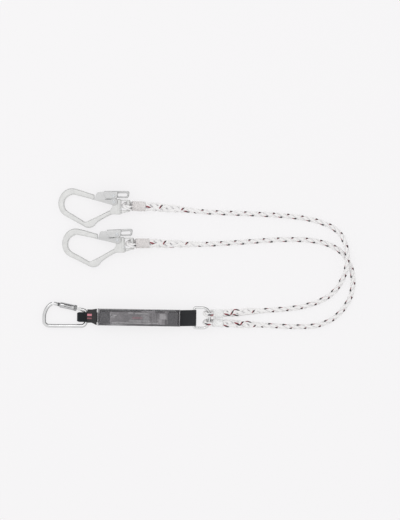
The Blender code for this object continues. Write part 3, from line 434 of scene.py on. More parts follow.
def makeStudio():
    scene = bpy.context.scene
    scene.view_settings.view_transform = "Standard"
    cameraData = bpy.data.cameras.new("photoCamera")
    cameraData.type = "ORTHO"
    cameraData.sensor_fit = "VERTICAL"
    cameraData.ortho_scale = studio["viewHeight"]
    camera = bpy.data.objects.new("photoCamera", cameraData)
    camera.location = (*studio["viewMiddle"], 3.0)
    camera.rotation_euler = (0.0, 0.0, math.radians(studio["viewTurn"]))
    scene.collection.objects.link(camera)
    scene.camera = camera

    material, tree, shader = newMaterial("pale paper floor", studio["floor"], 0.85)
    shader.inputs["Specular IOR Level"].default_value = 0.1
    path = addNode(tree, "LightPath").node.outputs
    seen = addNode(tree, "Math", {0: path["Is Camera Ray"], 1: path["Is Glossy Ray"]},
                   operation="MAXIMUM")
    seen = addNode(tree, "Math", {0: seen, 1: path["Is Transmission Ray"]}, operation="MAXIMUM")
    share = addNode(tree, "Math", {0: seen, 1: studio["floorGlow"]}, operation="MULTIPLY")
    glow = addNode(tree, "Emission", {"Color": hexColour(studio["floor"]), "Strength": 1.0})
    mixed = addNode(tree, "MixShader", {0: share, 1: shader.outputs[0], 2: glow})
    tree.links.new(mixed, tree.nodes["Material Output"].inputs["Surface"])
    bm = bmesh.new()
    bmesh.ops.create_grid(bm, x_segments=1, y_segments=1, size=6.0)
    floor = placeShape("paperFloor", bm)
    floor.data.materials.append(material)

    world = bpy.data.worlds.new("studioLight")
    scene.world = world
    world.use_nodes = True
    tree = world.node_tree
    background = tree.nodes["Background"]
    background.inputs["Color"].default_value = hexColour("#FFFFFF")
    path = addNode(tree, "LightPath").node.outputs
    # polished metal sees the room's darker lower walls, which draws its edges
    toward = addNode(tree, "TexCoord")
    height = addNode(tree, "SeparateXYZ", {0: toward}).node.outputs["Z"]
    darkSide = addNode(tree, "VectorMath", {0: toward, 1: studio["darkWall"]}, output=1,
                       operation="DOT_PRODUCT")
    lowered = addNode(tree, "Math", {0: darkSide, 1: -0.45, 2: height}, operation="MULTIPLY_ADD")
    walls = addNode(tree, "MapRange", {0: lowered, 1: 0.1, 2: 0.55, 3: studio["wallShade"], 4: 0.0})
    walls = addNode(tree, "Math", {0: walls, 1: path["Is Glossy Ray"]}, operation="MULTIPLY")
    strength = addNode(tree, "Math", {0: studio["skyStrength"], 1: walls}, operation="SUBTRACT")
    tree.links.new(strength, background.inputs["Strength"])

    lampData = bpy.data.lights.new("softbox", "AREA")
    lampData.shape = "RECTANGLE"
    lampData.size = 1.6
    lampData.size_y = 1.2
    lampData.energy = studio["softboxWatts"]
    lamp = bpy.data.objects.new("softbox", lampData)
    lamp.location = (-0.5, 1.2, 2.2)
    toMiddle = Vector((0.16, 0.15, 0.0)) - lamp.location
    lamp.rotation_euler = toMiddle.to_track_quat("-Z", "Y").to_euler()
    scene.collection.objects.link(lamp)


makeStudio()

# spliced eyes: each rope turns round its bar, enters a clear sleeve and is tucked into itself
splice = {
    "begin": 17.0,          # where the strands start, inside the sleeve
    "tuckRun": 28.0,        # along the rope for one over-and-under tuck
    "weave": 1.2,           # how far a strand rises over or dips under another
    "strandRadius": 4.15,
    "tailRadius": 1.7,      # what a tapered tucked strand thins down to
    "flatten": (0.88, 1.16),  # a strand's thickness and width against its radius, as it lies on others
    "pointsRound": 16,
    "step": 1.6,
    "sleeveLead": 8.5,      # the sleeves run this far on towards the bar
    "sleeveTail": 2.5,
}


def oval(point, left, up, halfWidth, halfHeight, power, count):
    ring = []
    for k in range(count):
        c = math.cos(2 * math.pi * k / count)
        s = math.sin(2 * math.pi * k / count)
        a = halfWidth * math.copysign(abs(c) ** (2 / power), c)
        b = halfHeight * math.copysign(abs(s) ** (2 / power), s)
        ring.append(point + left * a + up * b)
    return ring


def woundStrand(bm, frames, angles, reaches, radii, runs):
    # a strand wound about the rope's middle, slightly flattened where it lies on the rope
    count = splice["pointsRound"]
    thick, wide = splice["flatten"]
    centres = [point + left * (math.cos(a) * reachY) + up * (math.sin(a) * reachZ)
               for (point, _, left, up), a, (reachY, reachZ) in zip(frames, angles, reaches)]
    last = len(centres) - 1
    rings = []
    for i, centre in enumerate(centres):
        along = (centres[min(i + 1, last)] - centres[max(i - 1, 0)]).normalized()
        outward = centre - frames[i][0]
        outward = (outward - along * outward.dot(along)).normalized()
        side = along.cross(outward)
        ring = []
        for k in range(count):
            psi = -math.pi + 2 * math.pi * k / count
            ring.append(centre + outward * (math.cos(psi) * radii[i] * thick)
                        + side * (math.sin(psi) * radii[i] * wide))
        rings.append(ring)

    def strandUv(first, c, r):
        return ((-math.pi + 2 * math.pi * c / count) * radii[r], runs[r])

    return wrapGrid(bm, rings, strandUv)


def loopPoints(centre, outward, lateral, throat, roomY, roomZ, plan):
    # over the bar, round it and back underneath, as the CAD eye goes
    reachX, reachZ = plan["reach"]
    sideStep = plan["sideStep"]
    loop = [(legPlan["throatStart"], -roomY, throat + roomZ), (reachX * 0.46, -sideStep, reachZ * 0.95)]
    for angle in (90, 115, 140, 160, 180, 200, 220, 245, 270):
        turn = math.radians(angle)
        side = sideStep * max(-1.0, min(1.0, (180 - angle) / 72))
        loop.append((reachX * math.cos(turn), -side, reachZ * math.sin(turn)))
    loop.append((legPlan["throatStart"], roomY, throat - roomZ))
    return [centre + outward * x + lateral * y + Vector((0.0, 0.0, z)) for x, y, z in loop]


def tuckLag(s):  # a tucked strand falls behind the laid ones, by two thirds of a turn at each tuck
    return -2 * math.pi / 1.5 * (s - splice["begin"]) / splice["tuckRun"]


def strandTurn(k, s, phase0):  # the laid strands are 0 to 2, the tucked ones 3 to 5
    lag = tuckLag(s) if k > 2 else 0.0
    return phase0 + 2 * math.pi * s / rope["layLength"] + 2 * math.pi * (k % 3) / 3 + lag


def markMisfit(k, s, at, side, phase0):  # how badly strand k suits a mark at a place and side
    turned = math.remainder(strandTurn(k, s, phase0) - math.radians(side), 2 * math.pi)
    over = math.cos(1.5 * tuckLag(s)) * (1 if k > 2 else -1)
    return abs(turned) + 0.04 * abs(s - at) - 0.5 * over


def marksOn(phase0, wishes):  # where along it each strand shows its tracer
    marks = {}
    for at, side in wishes:
        choices = [(k, at + shift) for k in range(6) if k not in marks for shift in range(-8, 9, 2)]
        k, s = min(choices, key=lambda choice: markMisfit(*choice, at, side, phase0))
        marks[k] = s
    return marks


def splicedStrands(bm, frames, lengths, phase0, plan, wishes):
    # three laid strands and three tucked ones, which pass over and under them in turn
    marks = marksOn(phase0, wishes)
    full, thin = splice["strandRadius"], splice["tailRadius"]
    for k in range(6):
        tucked = k > 2
        angles, reaches, radii, runs, used = [], [], [], [], []
        for frame0, s in zip(frames, lengths):
            t = s / plan["length"]
            if s < splice["begin"] or tucked and t > 0.95:
                continue
            wide, high, _ = spliceSection(s, plan["shape"])
            grow = smoothStep((s - splice["begin"] + 4.0) / 14.0)  # it comes out from inside the sleeve
            ease = smoothStep((1.0 - t) / 0.3)                     # and settles down to the plain rope
            weave = splice["weave"] * math.cos(1.5 * tuckLag(s)) * ease
            if tucked:
                radius = grow * (thin + (full - thin) * smoothStep((0.95 - t) / 0.45))
                weave -= 3.5 * smoothStep((t - 0.86) / 0.09)
            else:
                radius = grow * (rope["strandRadius"] + (full - rope["strandRadius"]) * ease)
                weave = -weave
            sunk = 2.5 * (1 - grow)
            angles.append(strandTurn(k, s, phase0))
            reaches.append((wide - radius + weave - sunk, high - radius + weave - sunk))
            radii.append(radius)
            runs.append(s - marks.get(k, 400.0) + rope["markMiddle"])
            used.append(frame0)
        woundStrand(bm, used, angles, reaches, radii, runs)


def eyeSplice(end, letter, bar, line, phase0):
    plan = eyePlans[end]
    shape = plan["shape"]
    line = evenLine(line, splice["step"])
    lengths = lineLengths(line)
    stop = next(i for i, s in enumerate(lengths) if s > plan["length"] + 2.0)
    frames = carryFrames(line, Vector((0.0, 1.0, 0.0)))[:stop]
    bm = bmesh.new()
    splicedStrands(bm, frames, lengths[:stop], phase0, plan, spliceMarks[end + "_" + letter])

    # the eye itself, its two ends drawn together inside the splice
    outward = line[8] - line[0]
    outward = Vector((outward.x, outward.y, 0.0)).normalized()
    lateral = Vector((-outward.y, outward.x, 0.0))
    taken = legPlan["eyeRadius"] + legPlan["eyeCover"]
    roomY = shape[0][1] - taken
    roomZ = shape[0][2] - taken
    eye = loopPoints(Vector((*bar, plan["barZ"])), outward, lateral, line[0].z - plan["barZ"], roomY,
                     roomZ, plan)
    lead, tail = [], []
    for distance in (38.0, 29.0, 20.0, 11.0):
        point, _, left, up = frames[round(distance / splice["step"])]
        wide, high, _ = spliceSection(distance, shape)
        draw = 1.0 - 0.55 * smoothStep((distance - 6.0) / 30.0)
        y = (wide - taken) * draw
        z = max(1.0, high - taken) * draw
        lead.append(point - left * y + up * z)
        tail.append(point + left * y - up * z)
    path = smoothLine(lead + eye + tail[::-1], splice["step"])
    distances = lineLengths(path)
    full = legPlan["eyeRadius"] * 2 / rope["diameter"]
    scales = []
    for s in distances:
        inside = min(s, distances[-1] - s)
        scales.append((0.62 + 0.38 * smoothStep(inside / 26.0)) * full)
    laidSkin(bm, carryFrames(path, lateral), distances, scales, *eyeMarks[end + "_" + letter])
    for vert in bm.verts:  # the strands lie flat where they rest on the floor
        vert.co.z = max(0.02 * mm, vert.co.z)
    finishPiece(end + "EyeSplice_" + letter, bm, spliceWhite, "leg_" + letter,
                (end + "_eye_splice_" + letter,), 75.0)


def filmMaterial(name, colour, alpha, roughness, crinkle):
    # Heat-shrunk clear film: glossy, a little milky, with fine crinkles a few millimetres apart.
    material, tree, shader = newMaterial(name, colour, roughness)
    shader.inputs["IOR"].default_value = 1.45
    place = addNode(tree, "TexCoord", output=3)
    large = addNode(tree, "TexNoise",
                    {"Vector": place, "Scale": 90.0, "Detail": 3.0, "Roughness": 0.55})
    fine = addNode(tree, "TexNoise", {"Vector": place, "Scale": 420.0, "Detail": 2.0})
    height = addNode(tree, "Math", {0: fine, 1: 0.25, 2: large}, operation="MULTIPLY_ADD")
    bump = addNode(tree, "Bump", {"Height": height, "Distance": crinkle * mm, "Strength": 0.7})
    haze = addNode(tree, "MapRange",
                   {0: large, 1: 0.3, 2: 0.7, 3: alpha * 0.8, 4: min(1.0, alpha * 1.2)})
    gloss = addNode(tree, "MapRange", {0: fine, 1: 0.3, 2: 0.7, 3: roughness * 0.7, 4: roughness * 1.5})
    dressShader(tree, shader, Alpha=haze, Normal=bump, Roughness=gloss)
    return material


def eyeSleeve(end, letter, line):
    # it starts well towards the bar, where the eye's two ends stand apart, and so is taller there
    plan = eyePlans[end]
    begin, finish = plan["sleeve"]
    begin -= splice["sleeveLead"]
    finish += splice["sleeveTail"]
    step = 1.5
    line = evenLine(line, step)
    back = (line[0] - line[1]).normalized()
    first = [line[0] + back * (step * k) for k in range(round(-begin / step), 0, -1)]
    rings = []
    for i, (point, _, left, up) in enumerate(carryFrames(first + line, Vector((0.0, 1.0, 0.0)))):
        s = (i - len(first)) * step
        if s > finish:
            break
        wide, high, power = spliceSection(max(0.0, s), plan["shape"])
        if s < 12.0:  # clear of the strand that comes down over the bar
            top = point.z + high + 1.2 * max(0.0, -s) + 0.9 * smoothStep(1.0 - s / 12.0)
            high = (top - max(0.8, point.z - high)) / 2
            point = Vector((point.x, point.y, top - high))
        lip = 0.5 * smoothStep(1.0 - min(s - begin, finish - s) / 2.0)
        dents = 0.25 * math.sin(s * 1.3)
        rings.append(oval(point, left, up, wide + 0.55 + lip + dents, high + 0.45 + lip, power, 40))
    piece = finishPiece(end + "EyeSleeve_" + letter, wrapGrid(bmesh.new(), rings, capped=False),
                        plan["film"], "leg_" + letter, (end + "_eye_sleeve_" + letter,))
    addModifier(piece, "filmWall", "SOLIDIFY", thickness=0.6 * mm, offset=0.0)


print("splices and eyes")
ringReach = 3.5 + legPlan["eyeRadius"]  # from the D-ring's middle to the rope's, where it turns
eyePlans = {
    "hook": {
        "barZ": legPlan["hookBarZ"],
        "shape": hookSpliceShape,
        "length": rope["hookSplice"],
        "sleeve": legPlan["hookSleeve"],
        "film": filmMaterial("milky sleeve film", "#EAE6E5", 0.72, 0.2, 0.5),
        "sideStep": 5.2,        # the eye's two ends pass the bar this far to either side
        "reach": (11.9, 11.9),  # of the eye round its bar, along and up
    },
    "ring": {
        "barZ": legPlan["ringZ"],
        "shape": ringSpliceShape,
        "length": rope["ringSplice"],
        "sleeve": legPlan["ringSleeve"],
        "film": filmMaterial("white sleeve film", "#F8F8F8", 0.78, 0.2, 0.5),
        "sideStep": 4.4,
        "reach": (ringReach + 2.4, ringReach + 0.6),
    },
}
# tracer marks: how far from the throat, and on which side, where 90 degrees is the upper one
spliceMarks = {
    "hook_a": ((133.0, 75.0), (70.0, 70.0), (46.0, 110.0), (104.0, 160.0), (145.0, 100.0), (30.0, 30.0)),
    "hook_b": ((134.0, 75.0), (72.0, 70.0), (44.0, 110.0), (98.0, 160.0), (146.0, 100.0), (28.0, 30.0)),
    "ring_a": ((41.0, 80.0), (95.0, 90.0), (53.0, 140.0), (66.0, 40.0), (24.0, 130.0)),
    "ring_b": ((81.0, 60.0), (60.0, 90.0), (22.0, 140.0), (112.0, 110.0), (95.0, 50.0)),
}
# for each eye, how far along its rope its mark lies, and where its strands' turns start from
eyeMarks = {
    "hook_a": (49.0, 14.0), "hook_b": (49.0, 14.0), "ring_a": (55.0, 18.0), "ring_b": (61.0, 26.0),
}
for letter, line, flatLength, markAt, ringEyeY in (
        ("a", lineA, flatLengthA, markA, ringA), ("b", lineB, flatLengthB, markB, ringB)):
    ringEye = (legPlan["ringBowX"], ringEyeY)
    for end, bar, way, side, run in (
            ("hook", legPlan["hookEyes"][letter], line, rope["markSide"], markAt),
            ("ring", ringEye, line[::-1], 180.0 - rope["markSide"], flatLength - markAt)):
        phase0 = math.radians(side) - 2 * math.pi * run / rope["layLength"]
        eyeSplice(end, letter, bar, way, phase0)
        eyeSleeve(end, letter, way)


def metalMaterial(name, colour, dark, roughness, grain, grainScale, bumpDepth, stretch=(1.0, 1.0, 1.0),
                  wear=0.0, edgePaling=0.5, metallic=1.0):
    # One recipe for the bare metals: a fine surface grain, soft cloudy tone, handling marks, paler sharp
    # edges.
    material, tree, shader = newMaterial(name, colour, roughness, metallic)
    place = addNode(tree, "Mapping", {0: addNode(tree, "TexCoord", output=3), "Scale": stretch})
    clouds = addNode(tree, "TexNoise",
                     {"Vector": place, "Scale": 60.0, "Detail": 4.0, "Roughness": 0.6})
    fine = addNode(tree, "TexNoise", {"Vector": place, "Scale": grainScale, "Detail": 3.0,
                                      "Roughness": 0.65})
    marks = addNode(tree, "TexVoronoi", {"Vector": place, "Scale": 140.0, "Randomness": 1.0},
                    feature="DISTANCE_TO_EDGE")
    scratch = addNode(tree, "MapRange", {0: marks, 1: 0.0, 2: 0.03, 3: wear, 4: 0.0})
    cloudy = addNode(tree, "MapRange", {0: clouds, 1: 0.35, 2: 0.7, 3: 0.0, 4: 0.8})
    edge = addNode(tree, "NewGeometry").node.outputs["Pointiness"]
    # paler on sharp convex edges, by how pointed the surface is
    bright = addNode(tree, "MapRange", {0: edge, 1: 0.53, 2: 0.62, 3: 0.0, 4: edgePaling})
    tone = hexColour(colour)
    for mask, layer in ((cloudy, dark), (bright, "#F2F2F1")):
        tone = addNode(tree, "Mix", {"Factor": mask, 6: tone, 7: hexColour(layer)}, output=2,
                       data_type="RGBA")
    gloss = addNode(tree, "MapRange", {0: fine, 1: 0.25, 2: 0.75, 3: roughness - grain,
                                       4: roughness + grain})
    gloss = addNode(tree, "Math", {0: gloss, 1: scratch}, operation="ADD")
    bump = addNode(tree, "Bump", {"Height": fine, "Distance": bumpDepth * mm, "Strength": 0.6})
    dressShader(tree, shader, Base_Color=tone, Roughness=gloss, Normal=bump)
    return material


# Forged aluminium alloy, shot-blasted and given a clear matt coat: pale satin grey, fine even grain
# of 0.4 mm. The matt coat scatters, so it is not wholly metallic.
forgedAlloy = metalMaterial("satin forged aluminium", "#E0E0DF", "#D3D3D2", 0.55, 0.08, 1500.0, 0.05,
                            wear=0.05, edgePaling=0.3, metallic=0.6)
# Pressed aluminium sheet for the gates: smoother, brushed along its length.
pressedAlloy = metalMaterial("brushed aluminium sheet", "#CBCBCB", "#BDBDBD", 0.48, 0.07, 900.0, 0.03,
                             (0.15, 1.0, 1.0), wear=0.06, edgePaling=0.0)
# Steel bar, tumbled and chromed bright: clear reflections, very faint orange peel.
brightSteel = metalMaterial("bright plated steel", "#DFDFDF", "#D0D0D1", 0.12, 0.04, 300.0, 0.012,
                            wear=0.04)
# The twist sleeve's steel: turned and plated, a shade greyer than the bent bar.
turnedSteel = metalMaterial("turned plated steel", "#CACACB", "#B9B9BB", 0.18, 0.05, 600.0, 0.015,
                            wear=0.05)
# Zinc-plated steel for the ring, rivets and springs: a little duller and bluish.
zincSteel = metalMaterial("zinc plated steel", "#CFD1D3", "#B9BCC0", 0.24, 0.06, 700.0, 0.02, wear=0.07)
# The ring's steel: bright zinc over a drawn wire, nearly as clear as the karabiner's.
ringSteel = metalMaterial("bright zinc on drawn wire", "#E6E6E6", "#D8D8D9", 0.17, 0.05, 500.0, 0.015,
                          wear=0.05)
# Blackened steel of the grip ring, paler on the tops of its flutes.
darkSteel = metalMaterial("blackened knurled steel", "#7B7C7D", "#5A5B5C", 0.36, 0.1, 900.0, 0.04,
                          wear=0.05)


# scaffold hooks, in each hook's own plane: u along it to the rope eye, v across, z up
hook = {
    "turn": {"a": 0.9, "b": 3.5},  # degrees about its rope eye
    "tilt": -3.328,
    "hubHalf": 7.0,
    "voxel": 0.75,
    "gateHalf": 9.4,
    "gateSheet": 2.0,
    "gateBend": 2.4,
    "leverHalf": 11.8,
    "leverSheet": 2.0,
    "fingerHalf": 6.0,
    "edgeRound": 0.5,
}

# forged bow, in pairs across the bar: outer edge, inner edge, half thickness
hookBow = [
    ((-88.9, 28.9), (-88.9, 14.6), 6.2), ((-105.3, 34.1), (-107.9, 20.3), 6.6),
    ((-126.1, 40.8), (-128.7, 25.5), 7.0), ((-146.9, 45.5), (-144.3, 28.9), 7.4),
    ((-163.8, 40.6), (-156.5, 23.7), 7.5), ((-176.4, 27.4), (-163.5, 16.5), 7.5),
    ((-182.6, 8.9), (-166.6, 6.4), 7.5), ((-179.4, -10.0), (-165.1, -4.8), 7.5),
    ((-168.6, -24.0), (-157.5, -14.6), 7.4), ((-146.9, -36.2), (-140.1, -25.2), 7.2),
    ((-124.5, -48.6), (-119.6, -38.0), 7.0), ((-107.0, -57.4), (-112.4, -41.8), 7.0),
    ((-91.6, -54.6), (-103.6, -38.8), 7.0), ((-81.0, -43.6), (-89.7, -32.6), 6.8),
    ((-63.7, -32.8), (-69.4, -22.4), 6.6), ((-48.1, -24.7), (-53.3, -14.3), 6.4),
    ((-38.5, -21.2), (-41.0, -9.4), 6.4),
]


def arcPoints(centre, radius, start, stop, steps):
    return [(centre[0] + radius * math.cos(math.radians(start + (stop - start) * i / steps)),
             centre[1] + radius * math.sin(math.radians(start + (stop - start) * i / steps)))
            for i in range(steps + 1)]


def roundedBox(halfU, halfV, radius, steps=4, centre=(0.0, 0.0)):
    points = []
    for signU, signV, start in ((1, 1, 0), (-1, 1, 90), (-1, -1, 180), (1, -1, 270)):
        corner = (centre[0] + signU * (halfU - radius), centre[1] + signV * (halfV - radius))
        points += arcPoints(corner, radius, start, start + 90, steps)
    return points


def plate(bm, outline, low, high, edge=0.0, holes=(), segments=3):
    # an outline, with any holes, raised to a plate with rounded edges; in metres from here on
    edges = []
    for loop in [outline] + list(holes):
        verts = [bm.verts.new((u * mm, v * mm, low * mm)) for u, v in loop]
        edges += [bm.edges.new((a, b)) for a, b in zip(verts, verts[1:] + verts[:1])]
    faces = [f for f in bmesh.ops.triangle_fill(bm, use_beauty=True, edges=edges)["geom"]
             if isinstance(f, bmesh.types.BMFace)]
    raised = bmesh.ops.extrude_face_region(bm, geom=faces, use_keep_orig=True)["geom"]
    lifted = [v for v in raised if isinstance(v, bmesh.types.BMVert)]
    bmesh.ops.translate(bm, verts=lifted, vec=(0.0, 0.0, (high - low) * mm))
    whole = {f for v in lifted for f in v.link_faces} | set(faces)
    bmesh.ops.recalc_face_normals(bm, faces=list(whole))
    if edge:
        rims = {e for f in whole for e in f.edges
                if len(e.link_faces) == 2 and e.calc_face_angle() > math.radians(60)
                and abs(e.verts[0].co.z - e.verts[1].co.z) < 1e-6}
        bmesh.ops.bevel(bm, geom=list(rims), offset=edge * mm, offset_type="OFFSET", segments=segments,
                        profile=0.5, affect="EDGES", clamp_overlap=True, material=-1)
    return bm


def modifiedShape(holders, kind, **settings):  # the first object's shape under a modifier
    addModifier(holders[0], "shaping", kind, **settings)
    bpy.context.view_layer.update()
    result = bmesh.new()
    result.from_object(holders[0], bpy.context.evaluated_depsgraph_get())
    for holder in holders:
        bpy.data.objects.remove(holder, do_unlink=True)
    return result


def remeshed(bm, voxel, rounds):
    # merges overlapping closed shapes into one skin, as a forging is one piece, and softens it
    result = modifiedShape([placeShape("blend", bm)], "REMESH", mode="VOXEL", voxel_size=voxel * mm,
                           adaptivity=0.0)
    for _ in range(rounds):
        bmesh.ops.smooth_vert(result, verts=result.verts, factor=0.5, use_axis_x=True,
                              use_axis_y=True, use_axis_z=True)
    return result


def hookPlace(letter):
    spin = Euler((0.0, math.radians(hook["tilt"]), math.radians(hook["turn"][letter])))
    eye = Vector((*legPlan["hookEyes"][letter], legPlan["hookBarZ"]))
    return Matrix.Translation(eye * mm) @ spin.to_matrix().to_4x4()


def hookPiece(letter, name, bm, material, body, stands, sharp):  # body and node by their first part
    bmesh.ops.transform(bm, matrix=hookPlace(letter), verts=bm.verts)
    nodes = (stands + letter,) if stands else ()
    return finishPiece(name + letter, bm, material, body + letter, nodes, sharp)


def hookForging(letter):
    bm = bmesh.new()
    outers = smoothLine([Vector((*outer, half)) for outer, _, half in hookBow], 3.0)
    count = len(outers)
    inners = smoothLine([Vector((*inner, half)) for _, inner, half in hookBow], 0.1)
    inners = evenLine(inners, lineLengths(inners)[-1] / (count - 1))
    rings = []
    for outer, inner in zip(outers, inners):
        middle = (outer.xy + inner.xy) / 2
        across = (outer.xy - inner.xy) / 2
        outline = roundedBox(across.length, outer.z, 4.2, 5)
        across.normalize()
        rings.append([Vector((middle.x + across.x * a, middle.y + across.y * a, b))
                      for a, b in outline])
    wrapGrid(bm, rings)
    hub = [(-46.5, -22.2), (-23.0, -23.1), (-18.6, -21.6), (-18.6, 14.6), (-22.0, 16.8), (-30.6, 17.2),
           (-33.2, 20.6), (-33.0, 26.0), (-35.0, 29.3), (-38.2, 30.6), (-41.8, 29.5), (-44.6, 26.0),
           (-46.0, 18.0), (-43.0, 8.0), (-42.0, 0.0), (-43.0, -5.6), (-48.0, -11.6)]
    plate(bm, hub, -hook["hubHalf"], hook["hubHalf"], 1.4)
    plate(bm, [(-27.3, -21.0), (-21.6, -21.4), (-21.6, 15.4), (-27.3, 16.0)], -8.3, 8.3, 1.0)
    for sign, outer, root in ((-1, 16.4, 21.0), (1, 15.2, 15.2)):
        arm = [(-20.4, 12.0), (1.0, 12.0), (3.2, 13.2),
               (2.0, outer - 0.6), (-2.0, outer), (-20.4, root)]
        plate(bm, [(u, sign * v) for u, v in arm], -5.0, 5.0, 1.4)
    section = roundedBox(4.7, 4.5, 3.0)
    wrapGrid(bm, [[Vector((u, v, z)) for u, z in section] for v in (-15.0, -7.0, 0.0, 7.0, 14.2)])
    bm = remeshed(bm, hook["voxel"], 3)
    hookPiece(letter, "hookForging_", bm, forgedAlloy, "hook_", "hook_body_", 70.0)


def foldedSheet(bm, outline, foldFrom, foldTo, half, sheet, bend):
    # two cheeks joined by a web along part of the outline: a sheet with rounded folds, then its wall
    upper = [bm.verts.new((u * mm, v * mm, half * mm)) for u, v in outline]
    lower = [bm.verts.new((u * mm, v * mm, -half * mm)) for u, v in outline]
    bm.faces.new(upper)
    bm.faces.new(lower[::-1])
    folds = []
    for i in range(foldFrom, foldTo):
        bm.faces.new((upper[i], lower[i], lower[i + 1], upper[i + 1]))
        folds += [bm.edges.get((upper[i], upper[i + 1])), bm.edges.get((lower[i], lower[i + 1]))]
    bmesh.ops.recalc_face_normals(bm, faces=bm.faces)
    bmesh.ops.bevel(bm, geom=folds, offset=bend * mm, offset_type="OFFSET", segments=4, profile=0.5,
                    affect="EDGES", clamp_overlap=True, material=-1)
    bmesh.ops.triangulate(bm, faces=[f for f in bm.faces if len(f.verts) > 4])
    cheek = next(f for f in bm.faces if abs(f.normal.z) > 0.9 and f.calc_center_median().z > 0)
    inward = 1.0 if cheek.normal.z > 0 else -1.0
    bmesh.ops.solidify(bm, geom=bm.faces[:], thickness=sheet * mm * inward)
    return bm


def cutShape(body, tool, operation="DIFFERENCE"):
    holders = []
    for bm in (body, tool):
        bmesh.ops.recalc_face_normals(bm, faces=bm.faces)
        holders.append(placeShape("operand", bm))
    result = modifiedShape(holders, "BOOLEAN", operation=operation, solver="EXACT", object=holders[1])
    bmesh.ops.remove_doubles(result, verts=result.verts, dist=1e-6)
    return result


def softenEdges(piece, width, angle=35.0):
    addModifier(piece, "softEdges", "BEVEL", width=width * mm, segments=2, limit_method="ANGLE",
                angle_limit=math.radians(angle), harden_normals=True)


def hookGate(letter):
    outline = arcPoints((-37.7, 9.6), 50.2, 174.6, 152.0, 6)
    outline += [(-78.5, 35.4), (-70.0, 35.8), (-58.0, 35.0)]
    outline += arcPoints((-37.7, 9.6), 8.8, 52, -105, 14)
    bm = foldedSheet(bmesh.new(), outline, 6, 10, hook["gateHalf"], hook["gateSheet"], hook["gateBend"])
    # slot for the spring's leg, just clear of the lever
    spring = roundedBox(9.6, 0.8, 0.7, 3, (-50.6, 16.9))
    bm = cutShape(bm, plate(bmesh.new(), spring, 4.0, 14.0))
    piece = hookPiece(letter, "hookGate_", bm, pressedAlloy, "gate_", "hook_gate_", 30.0)
    softenEdges(piece, hook["edgeRound"])


def lockLever(letter):
    cheek = [(-63.7, 28.0), (-57.5, 19.0), (-33.0, 18.2), (-29.0, 21.5), (-27.6, 38.2), (-63.7, 38.2)]
    bm = foldedSheet(bmesh.new(), cheek, 4, 5, hook["leverHalf"], hook["leverSheet"], 2.0)
    finger = [(-31.0, 38.0), (-2.0, 38.0)] + arcPoints((-2.4, 33.4), 4.6, 78, 0, 5)
    finger += [(1.2, 25.6), (-0.8, 21.4)] + arcPoints((-4.2, 22.9), 3.3, -30, -88, 3)
    finger += [(-25.0, 20.2), (-29.0, 21.4), (-31.0, 25.0)]
    slot = roundedBox(12.9, 4.2, 3.6, 5, (-15.6, 28.1))
    plate(bm, finger, -hook["fingerHalf"], hook["fingerHalf"], 1.3, (slot,))
    piece = hookPiece(letter, "lockLever_", bm, pressedAlloy, "lever_", "lock_lever_", 30.0)
    softenEdges(piece, hook["edgeRound"])


def pinHead(letter):  # the small bright pin beside the rope's eye
    bm = plate(bmesh.new(), arcPoints((-20.4, -9.6), 1.7, 0, 345, 23), 6.4, 8.1, 0.7)
    hookPiece(letter, "pinHead_", bm, zincSteel, "hook_", None, 40.0)


def dressNode(node, material):
    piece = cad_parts[node]
    for slot in piece.material_slots:
        slot.material = material
    return piece


print("hooks")
for letter in "ab":
    hookForging(letter)
    pinHead(letter)
    hookGate(letter)
    lockLever(letter)
    for node in ("gate_rivet_", "lever_rivet_", "gate_spring_"):
        softenEdges(dressNode(node + letter, zincSteel), 0.3, 30.0)


# karabiner, its frame's plane level with the floor
karabiner = {
    "bar": 5.0,                 # radius
    "axisX": -137.0,
    "z": 7.9,
    "hinge": (-154.9, 20.4),
    "nose": (-222.7, 33.9),
    "gateRadius": 4.2,
    "sleeveOuter": 7.5,
    "sleeveInner": 4.6,
    "sleeveSpan": (14.3, 50.0),
    "gripSpan": (6.8, 14.0),
    "flutes": 18,
    "sides": 32,
}


def spunShape(profile, sides, closed=False):  # an outline of (along X, radius) turned about X
    bm = bmesh.new()
    verts = [bm.verts.new((x * mm, 0.0, r * mm)) for x, r in profile]
    edges = [bm.edges.new(pair) for pair in zip(verts, verts[1:] + (verts[:1] if closed else []))]
    bmesh.ops.spin(bm, geom=verts + edges, cent=(0, 0, 0), axis=(1, 0, 0), dvec=(0, 0, 0),
                   angle=2 * math.pi, steps=sides, use_merge=True, use_normal_flip=False,
                   use_duplicate=False)
    bmesh.ops.remove_doubles(bm, verts=bm.verts, dist=1e-6)
    if not closed:
        bmesh.ops.holes_fill(bm, edges=[e for e in bm.edges if e.is_boundary], sides=0)
    bmesh.ops.recalc_face_normals(bm, faces=bm.faces)
    return bm


def roundBar(bm, line, radius, sides, closed=False):
    frames = carryFrames(line, Vector((0.0, 0.0, 1.0)))
    if closed:
        last = len(line) - 1
        along = (line[1] - line[last - 1]).normalized()
        for i in (0, last):
            frames[i] = (line[0], along, Vector((0, 0, 1)), along.cross(Vector((0, 0, 1))))
    rings = [oval(point, left, up, radius, radius, 2.0, sides) for point, _, left, up in frames]
    wrapGrid(bm, rings, capped=not closed)
    if closed:
        bmesh.ops.remove_doubles(bm, verts=bm.verts, dist=1e-5)
    return bm


def gateMatrix():
    hinge = Vector((*karabiner["hinge"], karabiner["z"]))
    run = Vector(karabiner["nose"]) - Vector(karabiner["hinge"])
    matrix = Matrix.Translation(hinge * mm) @ Matrix.Rotation(math.atan2(run.y, run.x), 4, "Z")
    return matrix, run.length - 1.2


